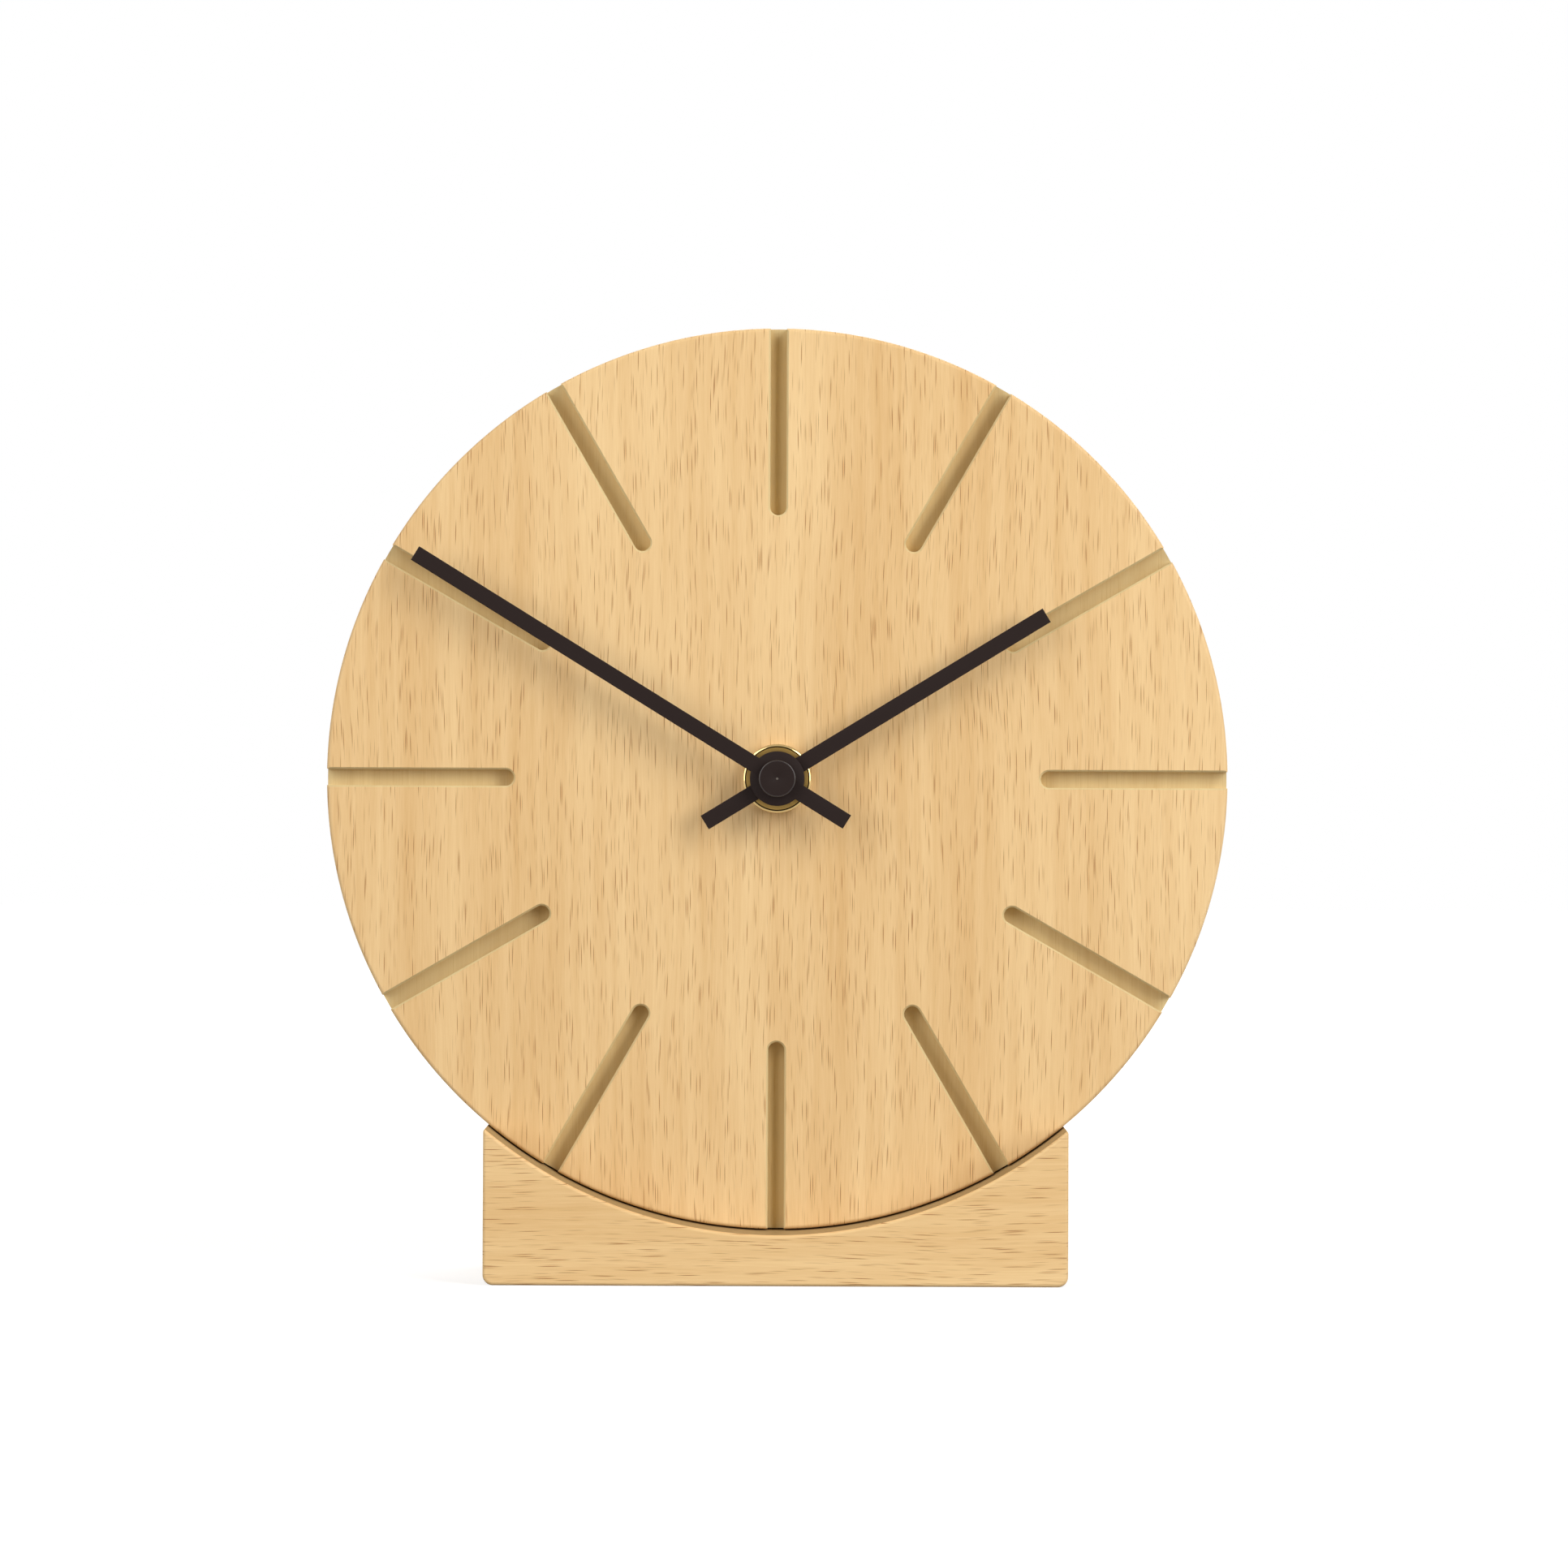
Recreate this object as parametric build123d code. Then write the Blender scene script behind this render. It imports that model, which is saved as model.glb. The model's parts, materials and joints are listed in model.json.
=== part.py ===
from build123d import *
import math
import os

# A wooden desk clock: a beech disc with milled hour slots sits in a beech cradle block, and a quartz
# movement in a pocket behind the face drives two bar hands. Millimetres; the origin is the middle of
# the base's underside, +Z is up and the face looks along -Y.

# Disc
DISC_DIAMETER = 160.0
DISC_THICKNESS = 25.0
DISC_EASE = 0.7
DIAL_WEB = 7.0

# Hour slots, milled into the face and open at the rim
SLOT_COUNT = 12
SLOT_WIDTH = 2.9
SLOT_DEPTH = 3.0
SLOT_INNER_RADIUS = 46.8
SLOT_EASE = 0.3

# Base block with its cradle arc
BASE_WIDTH = 103.0
BASE_DEPTH = 45.0
BASE_CORNER = 1.8
BASE_EASE = 0.6
SEAT_THICKNESS = 9.0
CRADLE_GAP = 0.3
HORN_EASE = 0.7
HORN_LAND = 0.1

# Countersunk screws from below, through the base into the disc
SCREW_SPACING = 40.0
SCREW_DIAMETER = 4.0
SCREW_LENGTH = 30.0
SCREW_TIP = 5.0
SCREW_HEAD_DIAMETER = 8.0
SCREW_HEAD_HEIGHT = 2.4
SCREW_SINK = 0.8
SCREW_DRIVE_SPAN = 4.2
SCREW_DRIVE_WIDTH = 0.9
SCREW_DRIVE_DEPTH = 1.6
SCREW_SPARE_DEPTH = 1.0

# Hands and their rest positions, in degrees clockwise from twelve
HAND_WIDTH = 2.8
HAND_THICKNESS = 0.6
HAND_BEVEL = 0.12
HAND_HUB_DIAMETER = 9.65
HAND_HUB_THICKNESS = 1.2
MINUTE_HAND_LENGTH = 75.3
MINUTE_HAND_TAIL = 14.5
MINUTE_HAND_ANGLE = 301.7
HOUR_HAND_LENGTH = 55.7
HOUR_HAND_TAIL = 15.0
HOUR_HAND_ANGLE = 58.55
HAND_GAP = 0.6
CAP_DIAMETER = 6.5
CAP_HEIGHT = 1.9
CAP_ROUND = 0.2
CAP_WALL = 0.7
CAP_DIMPLE_DIAMETER = 0.4
CAP_DIMPLE_DEPTH = 0.1

# Centre nut, bushing and washer that clamp the movement to the face
NUT_DIAMETER = 12.2
NUT_THICKNESS = 2.4
NUT_BEVEL = 0.35
NUT_BEVEL_DROP = 0.17
NUT_GROOVE_WIDTH = 0.22
NUT_GROOVE_DEPTH = 0.3
BUSHING_DIAMETER = 7.8
BUSHING_BORE = 5.3
BUSHING_FLANGE_DIAMETER = 11.0
BUSHING_FLANGE_THICKNESS = 0.8
BUSHING_PROUD = 0.4
WASHER_DIAMETER = 20.0
WASHER_THICKNESS = 0.8

# Movement case: square, unless a longer cell widens it
CASE_SIDE = 56.0
CASE_DEPTH = 16.5
CASE_CORNER = 2.5
CASE_WALL = 1.5
FRONT_PLATE = 1.5
COVER_THICKNESS = 1.2
COVER_OVERLAP = 1.0
LEDGE_SIDE = 2.0
SNAP_LENGTH = 6.0
SNAP_HEIGHT = 0.7
SNAP_REACH = 0.8
SNAP_UP = 8.0
PARTITION_WALL = 1.2
WHEEL_ROOM = 0.65
POCKET_CLEARANCE = 1.0
POCKET_CORNER = 4.0

# Bridge plate that carries the arbors' back pivots
BRIDGE_THICKNESS = 1.0
BRIDGE_LEFT = 18.0
BRIDGE_RIGHT = 23.5
BRIDGE_DOWN = 8.5
BRIDGE_UP = 24.5
BRIDGE_CORNER = 2.0
POST_DIAMETER = 3.2
POST_PIN_DIAMETER = 1.6
POST_INSET = 2.2

# Wheel train: teeth, centre distances and the angles between arbors, from +X towards +Z
CANNON_TEETH = 12
MINUTE_WHEEL_TEETH = 36
MINUTE_PINION_TEETH = 10
HOUR_WHEEL_TEETH = 40
KNOB_TEETH = 12
LEAVES = 8
CENTER_TEETH = 64
THIRD_TEETH = 60
SECONDS_TEETH = 40
INTERMEDIATE_TEETH = 48
MOTION_CENTRES = 11.0
TRAIN_CENTRES = 10.5
ROTOR_CENTRES = 10.08
MINUTE_WHEEL_ANGLE = 0.0
KNOB_ANGLE = 60.0
THIRD_ANGLE = 140.0
INTERMEDIATE_ANGLE = 80.0
ROTOR_ANGLE = 100.0
MOTION_WHEEL_THICKNESS = 1.0
TRAIN_WHEEL_THICKNESS = 0.8
LAYER_GAP = 0.6
PINION_SPARE = 0.15

# Tooth form: heights in modules, half widths in shares of the pitch
ADDENDUM = 0.75
DEDENDUM = 1.12
ROOT_SHARE = 0.28
PITCH_SHARE = 0.20
TIP_SHARE = 0.10

# Arbors
ARBOR_DIAMETER = 1.1
PIVOT_DIAMETER = 0.8
PIVOT_LENGTH = 0.8
END_PLAY = 0.1
HOUR_PIPE_WALL = 0.75
SECONDS_ARBOR_DIAMETER = 1.0
CLUTCH_DIAMETER = 2.4
KNOB_SHAFT_DIAMETER = 3.0
KNOB_DIAMETER = 9.0
KNOB_THICKNESS = 1.8
KNOB_RIBS = 24
KNOB_RIB_DEPTH = 0.3
KNOB_STANDOFF = 0.3
MAGNET_DIAMETER = 6.0
MAGNET_THICKNESS = 1.6
MAGNET_STANDOFF = 0.3

# Stepping motor: stator plate, and the coil upright beside the train
STATOR_THICKNESS = 0.8
STATOR_AIR_GAP = 0.5
STATOR_POLE_SIDE = 10.4
STATOR_ARM = 3.0
STATOR_SLIT = 0.6
STATOR_NECK = 0.5
STATOR_RETURN = 14.5
COIL_LEFT = 22.0
COIL_DIAMETER = 6.0
COIL_FLANGE_DIAMETER = 6.8
COIL_FLANGE_THICKNESS = 0.8
COIL_TUBE_WALL = 0.6
COIL_FOOT = -4.5
CORE_WIDTH = 2.4
CORE_THICKNESS = 0.8

# Circuit board, its chip and its crystal
BOARD_LEFT = 8.0
BOARD_RIGHT = 25.0
BOARD_DOWN = 8.0
BOARD_UP = 5.5
BOARD_THICKNESS = 0.8
BOARD_STANDOFF = 0.8
BOARD_BOSS_DIAMETER = 2.4
BOARD_BOSS_INSET = 3.0
CHIP_DIAMETER = 5.0
CHIP_HEIGHT = 1.0
CRYSTAL_DIAMETER = 1.5
CRYSTAL_LENGTH = 5.0

# Battery and its contacts
CELL_DIAMETER = 14.5
CELL_LENGTH = 50.5
CELL_NUB_DIAMETER = 5.5
CELL_NUB_LENGTH = 1.2
CELL_EASE = 0.6
CELL_CLEARANCE = 0.3
CONTACT_THICKNESS = 0.4
CONTACT_WIDTH = 9.0
CONTACT_TAB_WIDTH = 2.4
CONTACT_FOOT = 3.0
CONTACT_BUMP_DIAMETER = 5.0
CONTACT_BUMP_HEIGHT = 0.55

# Fits
PRESS_FIT = 0.02
RUNNING_FIT = 0.08
PIVOT_FIT = 0.05
LOOSE_FIT = 0.15

# Places that follow from the sizes above
HUB_Z = SEAT_THICKNESS + CRADLE_GAP + DISC_DIAMETER / 2
SHAFT = (0.0, HUB_Z)
FACE_Y = -DISC_THICKNESS / 2
DISC_BACK_Y = DISC_THICKNESS / 2
POCKET_Y = FACE_Y + DIAL_WEB
CASE_FRONT_Y = POCKET_Y + WASHER_THICKNESS
PLATE_Y = CASE_FRONT_Y + FRONT_PLATE
CASE_BACK_Y = CASE_FRONT_Y + CASE_DEPTH
COVER_Y = CASE_BACK_Y - COVER_THICKNESS
CELL_ROOM = CELL_CLEARANCE + CONTACT_BUMP_HEIGHT + CONTACT_THICKNESS + CASE_WALL
CASE_HALF = max(CASE_SIDE / 2, CELL_LENGTH / 2 + CELL_ROOM)
CASE_INSIDE = CASE_HALF - CASE_WALL
CASE_TOP = HUB_Z + CASE_SIDE / 2
NUT_Y = FACE_Y - NUT_THICKNESS
BUSHING_Y = NUT_Y - BUSHING_PROUD
HOUR_HUB_BACK_Y = BUSHING_Y - HAND_GAP
HOUR_HUB_FRONT_Y = HOUR_HUB_BACK_Y - HAND_HUB_THICKNESS
MINUTE_HUB_BACK_Y = HOUR_HUB_FRONT_Y - HAND_GAP
MINUTE_HUB_FRONT_Y = MINUTE_HUB_BACK_Y - HAND_HUB_THICKNESS
CAP_FRONT_Y = MINUTE_HUB_FRONT_Y - CAP_HEIGHT
BUSHING_RADIUS = BUSHING_DIAMETER / 2
HOUR_PIPE_RADIUS = BUSHING_BORE / 2 - RUNNING_FIT
HOUR_PIPE_BORE = HOUR_PIPE_RADIUS - HOUR_PIPE_WALL
CANNON_RADIUS = HOUR_PIPE_BORE - RUNNING_FIT
CANNON_BORE = SECONDS_ARBOR_DIAMETER / 2 + RUNNING_FIT
MODULE_CANNON = 2 * MOTION_CENTRES / (CANNON_TEETH + MINUTE_WHEEL_TEETH)
MODULE_HOUR = 2 * MOTION_CENTRES / (MINUTE_PINION_TEETH + HOUR_WHEEL_TEETH)
MODULE_CENTER = 2 * TRAIN_CENTRES / (LEAVES + CENTER_TEETH)
MODULE_THIRD = 2 * TRAIN_CENTRES / (LEAVES + THIRD_TEETH)
MODULE_SECONDS = 2 * TRAIN_CENTRES / (LEAVES + SECONDS_TEETH)
MODULE_ROTOR = 2 * ROTOR_CENTRES / (LEAVES + INTERMEDIATE_TEETH)
KNOB_CENTRES = MODULE_CANNON * (KNOB_TEETH + MINUTE_WHEEL_TEETH) / 2
PARTITION_TOP = HUB_Z - MODULE_CENTER * (CENTER_TEETH / 2 + ADDENDUM) - WHEEL_ROOM
PARTITION_LOW = PARTITION_TOP - PARTITION_WALL
CELL_Z = PARTITION_LOW - CELL_CLEARANCE - CELL_DIAMETER / 2
CELL_Y = PLATE_Y + CELL_CLEARANCE + CELL_DIAMETER / 2
CASE_LOW = CELL_Z - CELL_DIAMETER / 2 - CELL_CLEARANCE - CASE_WALL


def polar(start, distance, angle):
    """Point at a distance and an angle in degrees from a start point, in X and Z."""
    turn = math.radians(angle)
    return (start[0] + distance * math.cos(turn), start[1] + distance * math.sin(turn))


def bearing(start, end):
    """Angle in degrees of the line from one point to another, in X and Z."""
    return math.degrees(math.atan2(end[1] - start[1], end[0] - start[0]))


MINUTE_WHEEL_AT = polar(SHAFT, MOTION_CENTRES, MINUTE_WHEEL_ANGLE)
KNOB_AT = polar(MINUTE_WHEEL_AT, KNOB_CENTRES, KNOB_ANGLE)
THIRD_AT = polar(SHAFT, TRAIN_CENTRES, THIRD_ANGLE)
INTERMEDIATE_AT = polar(SHAFT, TRAIN_CENTRES, INTERMEDIATE_ANGLE)
ROTOR_AT = polar(INTERMEDIATE_AT, ROTOR_CENTRES, ROTOR_ANGLE)


def stack_layers():
    """Front and back of each layer behind the front plate, one wheel to a layer and then the bridge."""
    layers = {}
    depth = PLATE_Y
    for name, thickness in (
        ("hour", MOTION_WHEEL_THICKNESS),
        ("minute", MOTION_WHEEL_THICKNESS),
        ("center", TRAIN_WHEEL_THICKNESS),
        ("third", TRAIN_WHEEL_THICKNESS),
        ("seconds", TRAIN_WHEEL_THICKNESS),
        ("intermediate", TRAIN_WHEEL_THICKNESS),
        ("bridge", BRIDGE_THICKNESS),
    ):
        layers[name] = (depth + LAYER_GAP, depth + LAYER_GAP + thickness)
        depth = layers[name][1]
    return layers


LAYERS = stack_layers()
BRIDGE_Y, BRIDGE_BACK_Y = LAYERS["bridge"]
BOARD_Y = BRIDGE_BACK_Y + BOARD_STANDOFF
BOARD_BACK_Y = BOARD_Y + BOARD_THICKNESS
STATOR_BACK_Y = BRIDGE_BACK_Y + STATOR_THICKNESS
COIL_HEAD = ROTOR_AT[1] + STATOR_POLE_SIDE / 2 - STATOR_ARM
COIL_TAIL = HUB_Z + COIL_FOOT
POSTS = [
    (x, HUB_Z + z)
    for x in (POST_INSET - BRIDGE_LEFT, BRIDGE_RIGHT - POST_INSET)
    for z in (POST_INSET - BRIDGE_DOWN, BRIDGE_UP - POST_INSET)
]
BOARD_BOSSES = [
    (BOARD_LEFT + BOARD_BOSS_INSET, HUB_Z - BOARD_DOWN + BOARD_BOSS_INSET),
    (BRIDGE_RIGHT - BOARD_BOSS_INSET, HUB_Z + BOARD_UP - BOARD_BOSS_INSET),
]


def bar(sketch, front, back):
    """Extrude a sketch drawn in X and Z backwards along Y."""
    return extrude(Plane.XZ.offset(-front) * sketch, amount=back - front, dir=(0, 1, 0))


def round_bar(at, radius, front, back):
    """Round bar along Y."""
    return bar(Pos(*at) * Circle(radius), front, back)


def tube(at, radius, bore, front, back):
    """Round tube along Y."""
    return bar(Pos(*at) * (Circle(radius) - Circle(bore)), front, back)


def block(left, right, low, high, front, back):
    """Box between six planes."""
    middle = Pos((left + right) / 2, (low + high) / 2)
    return bar(middle * Rectangle(right - left, high - low), front, back)


def case_outline(inset, corner):
    """The movement's outline, drawn in from its outside."""
    height = CASE_TOP - CASE_LOW - 2 * inset
    return Pos(0, (CASE_TOP + CASE_LOW) / 2) * RectangleRounded(2 * (CASE_HALF - inset), height, corner)


def gear_outline(teeth, module, facing, tooth_there):
    """Toothed outline whose tooth, or gap, points along the facing angle."""
    pitch = 360 / teeth
    pitch_radius = module * teeth / 2
    root = pitch_radius - DEDENDUM * module
    tip = pitch_radius + ADDENDUM * module
    flank = ((root, ROOT_SHARE), (pitch_radius, PITCH_SHARE), (tip, TIP_SHARE))
    first = facing if tooth_there else facing + pitch / 2
    points = []
    for index in range(teeth):
        middle = first + index * pitch
        points += [polar((0, 0), radius, middle - share * pitch) for radius, share in flank]
        points += [polar((0, 0), radius, middle + share * pitch) for radius, share in reversed(flank)]
    return make_face(Polyline(*points, close=True))


def wheel(at, teeth, module, partner, layer):
    """Wheel with a gap facing its partner pinion."""
    outline = gear_outline(teeth, module, bearing(at, partner), False)
    return bar(Pos(*at) * outline, *LAYERS[layer])


def pinion(at, teeth, module, facing, layer):
    """Pinion, a little longer than the wheel in its layer, with a tooth along the facing angle."""
    front, back = LAYERS[layer]
    outline = gear_outline(teeth, module, facing, True)
    return bar(Pos(*at) * outline, front - PINION_SPARE, back + PINION_SPARE)


def arbor(at):
    """Arbor between the front plate and the bridge, with a pivot at each end."""
    pivots = round_bar(at, PIVOT_DIAMETER / 2, PLATE_Y - PIVOT_LENGTH, BRIDGE_Y + PIVOT_LENGTH)
    return pivots + round_bar(at, ARBOR_DIAMETER / 2, PLATE_Y + END_PLAY, BRIDGE_Y - END_PLAY)


def pivot_hole(at, front, back):
    """Hole that a pivot runs in."""
    return round_bar(at, PIVOT_DIAMETER / 2 + PIVOT_FIT, front, back)


def hand(angle, length, tail, back, bore):
    """Flat hand, turned clockwise from twelve: bar and hub stamped as one sheet, with a collet behind."""
    front = back - HAND_HUB_THICKNESS
    strip = Pos(0, (length - tail) / 2) * Rectangle(HAND_WIDTH, length + tail)
    outline = Pos(*SHAFT) * Rot(0, 0, -angle) * (strip + Circle(HAND_HUB_DIAMETER / 2))
    sheet = bar(outline, front, front + HAND_THICKNESS)
    sheet = chamfer(sheet.edges().group_by(Axis.Y)[0], HAND_BEVEL)
    collet = round_bar(SHAFT, HAND_HUB_DIAMETER / 2, front + HAND_THICKNESS, back)
    return sheet + collet - round_bar(SHAFT, bore, front, back)


def screw_places():
    """Where the two screws stand, under the disc's middle."""
    return [Pos(side * SCREW_SPACING / 2, 0, 0) for side in (-1, 1)]


def screw_shape(clearance, mouth, tip_spare):
    """Countersunk screw standing on its head, or with a clearance the hole that takes it."""
    head = SCREW_HEAD_DIAMETER / 2 + clearance
    shank = SCREW_DIAMETER / 2 + clearance
    neck = SCREW_SINK + SCREW_HEAD_HEIGHT
    straight = SCREW_SINK + SCREW_LENGTH - SCREW_TIP
    top = SCREW_SINK + SCREW_LENGTH + tip_spare
    points = [(0, mouth), (head, mouth), (head, SCREW_SINK), (shank, neck), (shank, straight), (0, top)]
    if mouth == SCREW_SINK:
        points.pop(1)
    return revolve(Plane.XZ * make_face(Polyline(*points, close=True)), Axis.Z)


def screw_holes():
    """The holes for both screws, through the base and into the disc."""
    hole = screw_shape(PIVOT_FIT, 0, SCREW_SPARE_DEPTH)
    return [place * hole for place in screw_places()]


def slot_outline(ease):
    """Upright slot, round at its inner end and running past the rim, widened by an easing."""
    start = SLOT_INNER_RADIUS + SLOT_WIDTH / 2
    length = DISC_DIAMETER / 2 + SLOT_WIDTH - start
    width = SLOT_WIDTH + 2 * ease
    return Pos(0, start + length / 2) * Rectangle(width, length) + Pos(0, start) * Circle(width / 2)


def dial_disc():
    """Beech disc with hour slots in its face and the movement pocket in its back."""
    body = round_bar(SHAFT, DISC_DIAMETER / 2, FACE_Y, DISC_BACK_Y)
    body = fillet(body.edges().filter_by(GeomType.CIRCLE), DISC_EASE)
    cuts = screw_holes()
    cuts.append(bar(case_outline(-POCKET_CLEARANCE, POCKET_CORNER), POCKET_Y, DISC_BACK_Y))
    cuts.append(round_bar(SHAFT, BUSHING_RADIUS + LOOSE_FIT, FACE_Y, POCKET_Y))
    for hour in range(SLOT_COUNT):
        turn = Pos(*SHAFT) * Rot(0, 0, -360 / SLOT_COUNT * hour)
        cuts.append(bar(turn * slot_outline(0), FACE_Y, FACE_Y + SLOT_DEPTH))
        mouth = Plane.XZ.offset(-FACE_Y) * turn * slot_outline(SLOT_EASE)
        cuts.append(extrude(mouth, amount=SLOT_EASE, dir=(0, 1, 0), taper=45))
    return body - cuts


def cradle_cut():
    """What the cradle takes from the block: the disc's round, widening to an eased mouth at each face."""
    radius = DISC_DIAMETER / 2 + CRADLE_GAP
    mouth = radius + BASE_EASE
    half = BASE_DEPTH / 2
    bulge = BASE_EASE * (1 - math.sqrt(0.5))
    lines = [Polyline((mouth, -half), (0, -half), (0, half), (mouth, half))]
    lines.append(Line((radius, BASE_EASE - half), (radius, half - BASE_EASE)))
    for side in (-1, 1):
        start = (mouth, side * half)
        middle = (radius + bulge, side * (half - bulge))
        lines.append(ThreePointArc(start, middle, (radius, side * (half - BASE_EASE))))
    return revolve(Plane.XY.offset(HUB_Z) * make_face(lines), Axis((0, 0, HUB_Z), (0, 1, 0)))


def base_block():
    """Beech block whose top is hollowed to the disc's curve, with a narrow land left on each horn."""
    top = HUB_Z - math.sqrt((DISC_DIAMETER / 2 + CRADLE_GAP) ** 2 - (BASE_WIDTH / 2 - HORN_LAND) ** 2)
    outline = Pos(0, top / 2) * Rectangle(BASE_WIDTH, top)
    outline = fillet(outline.vertices().group_by(Axis.Y)[0], BASE_CORNER)
    outline = fillet(outline.vertices().group_by(Axis.Y)[-1], HORN_EASE)
    body = bar(outline, -BASE_DEPTH / 2, BASE_DEPTH / 2)
    ends = body.edges().group_by(Axis.Y)
    body = fillet(ends[0] + ends[-1], BASE_EASE)
    return body - cradle_cut() - screw_holes()


def base_screws():
    """Two countersunk wood screws with a cross drive."""
    drive = Rectangle(SCREW_DRIVE_SPAN, SCREW_DRIVE_WIDTH) + Rectangle(SCREW_DRIVE_WIDTH, SCREW_DRIVE_SPAN)
    recess = extrude(Plane.XY.offset(SCREW_SINK) * drive, amount=SCREW_DRIVE_DEPTH)
    screw = screw_shape(0, SCREW_SINK, 0) - recess
    return Compound(children=[place * screw for place in screw_places()])


def center_nut():
    """Round brass nut with a bevelled rim and a fine V groove inside the bevel."""
    bore = BUSHING_RADIUS + PRESS_FIT
    outer = NUT_DIAMETER / 2
    shoulder = outer - NUT_BEVEL
    points = [(bore, FACE_Y), (outer, FACE_Y), (outer, NUT_Y + NUT_BEVEL_DROP), (shoulder, NUT_Y)]
    points.append((shoulder - NUT_GROOVE_WIDTH / 2, NUT_Y + NUT_GROOVE_DEPTH))
    points += [(shoulder - NUT_GROOVE_WIDTH, NUT_Y), (bore, NUT_Y)]
    profile = Plane.XY.offset(HUB_Z) * make_face(Polyline(*points, close=True))
    return revolve(profile, Axis((0, 0, HUB_Z), (0, 1, 0)))


def threaded_bushing():
    """Brass bush with a flange let into the front plate's inner side."""
    body = round_bar(SHAFT, BUSHING_RADIUS, BUSHING_Y, PLATE_Y)
    body += round_bar(SHAFT, BUSHING_FLANGE_DIAMETER / 2, PLATE_Y - BUSHING_FLANGE_THICKNESS, PLATE_Y)
    return body - round_bar(SHAFT, BUSHING_BORE / 2, BUSHING_Y, PLATE_Y)


def sealing_washer():
    """Rubber washer between the pocket's floor and the case."""
    return tube(SHAFT, WASHER_DIAMETER / 2, BUSHING_RADIUS + LOOSE_FIT, POCKET_Y, CASE_FRONT_Y)


def contact_slots(margin):
    """Where the contact tabs pass the partition wall, one at each side of the bay."""
    low = PARTITION_LOW - margin
    high = PARTITION_TOP + margin
    front = COVER_Y - CONTACT_TAB_WIDTH - margin
    inner = CASE_INSIDE - CONTACT_THICKNESS - margin
    return [
        block(-CASE_INSIDE, -inner, low, high, front, COVER_Y),
        block(inner, CASE_INSIDE, low, high, front, COVER_Y),
    ]


def snaps(margin):
    """The cover's two snap noses, or with a margin the windows that take them."""
    front = COVER_Y + (COVER_THICKNESS - SNAP_HEIGHT) / 2
    noses = []
    for side in (-1, 1):
        root = side * (CASE_INSIDE - LOOSE_FIT - COVER_OVERLAP)
        left, right = sorted((root, side * (CASE_INSIDE + SNAP_REACH)))
        low = HUB_Z + SNAP_UP - margin
        high = HUB_Z + SNAP_UP + SNAP_LENGTH + margin
        back = front + SNAP_HEIGHT
        noses.append(block(left - margin, right + margin, low, high, front - margin, back + margin))
    return noses


def movement_front_case():
    """Moulded case: front plate, side walls, battery bay, posts for the bridge and ledges for the cover."""
    body = bar(case_outline(0, CASE_CORNER), CASE_FRONT_Y, CASE_BACK_Y)
    body -= bar(case_outline(CASE_WALL, CASE_CORNER - CASE_WALL), PLATE_Y, CASE_BACK_Y)
    body += block(-CASE_INSIDE, CASE_INSIDE, PARTITION_LOW, PARTITION_TOP, PLATE_Y, COVER_Y)
    top = CASE_TOP - CASE_WALL
    body += block(-CASE_INSIDE, LEDGE_SIDE - CASE_INSIDE, top - LEDGE_SIDE, top, PLATE_Y, COVER_Y)
    body += block(CASE_INSIDE - LEDGE_SIDE, CASE_INSIDE, top - LEDGE_SIDE, top, PLATE_Y, COVER_Y)
    for post in POSTS:
        body += round_bar(post, POST_DIAMETER / 2, PLATE_Y, BRIDGE_Y)
        body += round_bar(post, POST_PIN_DIAMETER / 2, BRIDGE_Y, BRIDGE_BACK_Y)
    rotor_seat = LAYERS["intermediate"][0] - LAYER_GAP
    body += round_bar(ROTOR_AT, POST_DIAMETER / 2, PLATE_Y, rotor_seat)
    body -= pivot_hole(ROTOR_AT, rotor_seat - PIVOT_LENGTH - END_PLAY, rotor_seat)
    body -= round_bar(SHAFT, BUSHING_RADIUS + PRESS_FIT, CASE_FRONT_Y, PLATE_Y)
    flange = BUSHING_FLANGE_DIAMETER / 2 + PRESS_FIT
    body -= round_bar(SHAFT, flange, PLATE_Y - BUSHING_FLANGE_THICKNESS, PLATE_Y)
    for at in (THIRD_AT, INTERMEDIATE_AT, MINUTE_WHEEL_AT, KNOB_AT):
        body -= pivot_hole(at, PLATE_Y - PIVOT_LENGTH - END_PLAY, PLATE_Y)
    body -= contact_slots(LOOSE_FIT)
    return body - snaps(LOOSE_FIT)


def gear_bridge():
    """Plate on the posts, with the arbors' back pivot holes and bosses for the circuit board."""
    middle = Pos((BRIDGE_RIGHT - BRIDGE_LEFT) / 2, HUB_Z + (BRIDGE_UP - BRIDGE_DOWN) / 2)
    outline = middle * RectangleRounded(BRIDGE_LEFT + BRIDGE_RIGHT, BRIDGE_DOWN + BRIDGE_UP, BRIDGE_CORNER)
    body = bar(outline, BRIDGE_Y, BRIDGE_BACK_Y)
    for boss in BOARD_BOSSES:
        body += round_bar(boss, BOARD_BOSS_DIAMETER / 2, BRIDGE_BACK_Y, BOARD_Y)
    for at in (SHAFT, THIRD_AT, INTERMEDIATE_AT, MINUTE_WHEEL_AT):
        body -= pivot_hole(at, BRIDGE_Y, BRIDGE_BACK_Y)
    for post in POSTS:
        body -= round_bar(post, POST_PIN_DIAMETER / 2 + PRESS_FIT, BRIDGE_Y, BRIDGE_BACK_Y)
    rotor_way = MODULE_ROTOR * (LEAVES / 2 + ADDENDUM) + LOOSE_FIT
    body -= round_bar(ROTOR_AT, rotor_way, BRIDGE_Y, BRIDGE_BACK_Y)
    return body - round_bar(KNOB_AT, KNOB_SHAFT_DIAMETER / 2 + RUNNING_FIT, BRIDGE_Y, BRIDGE_BACK_Y)


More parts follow.
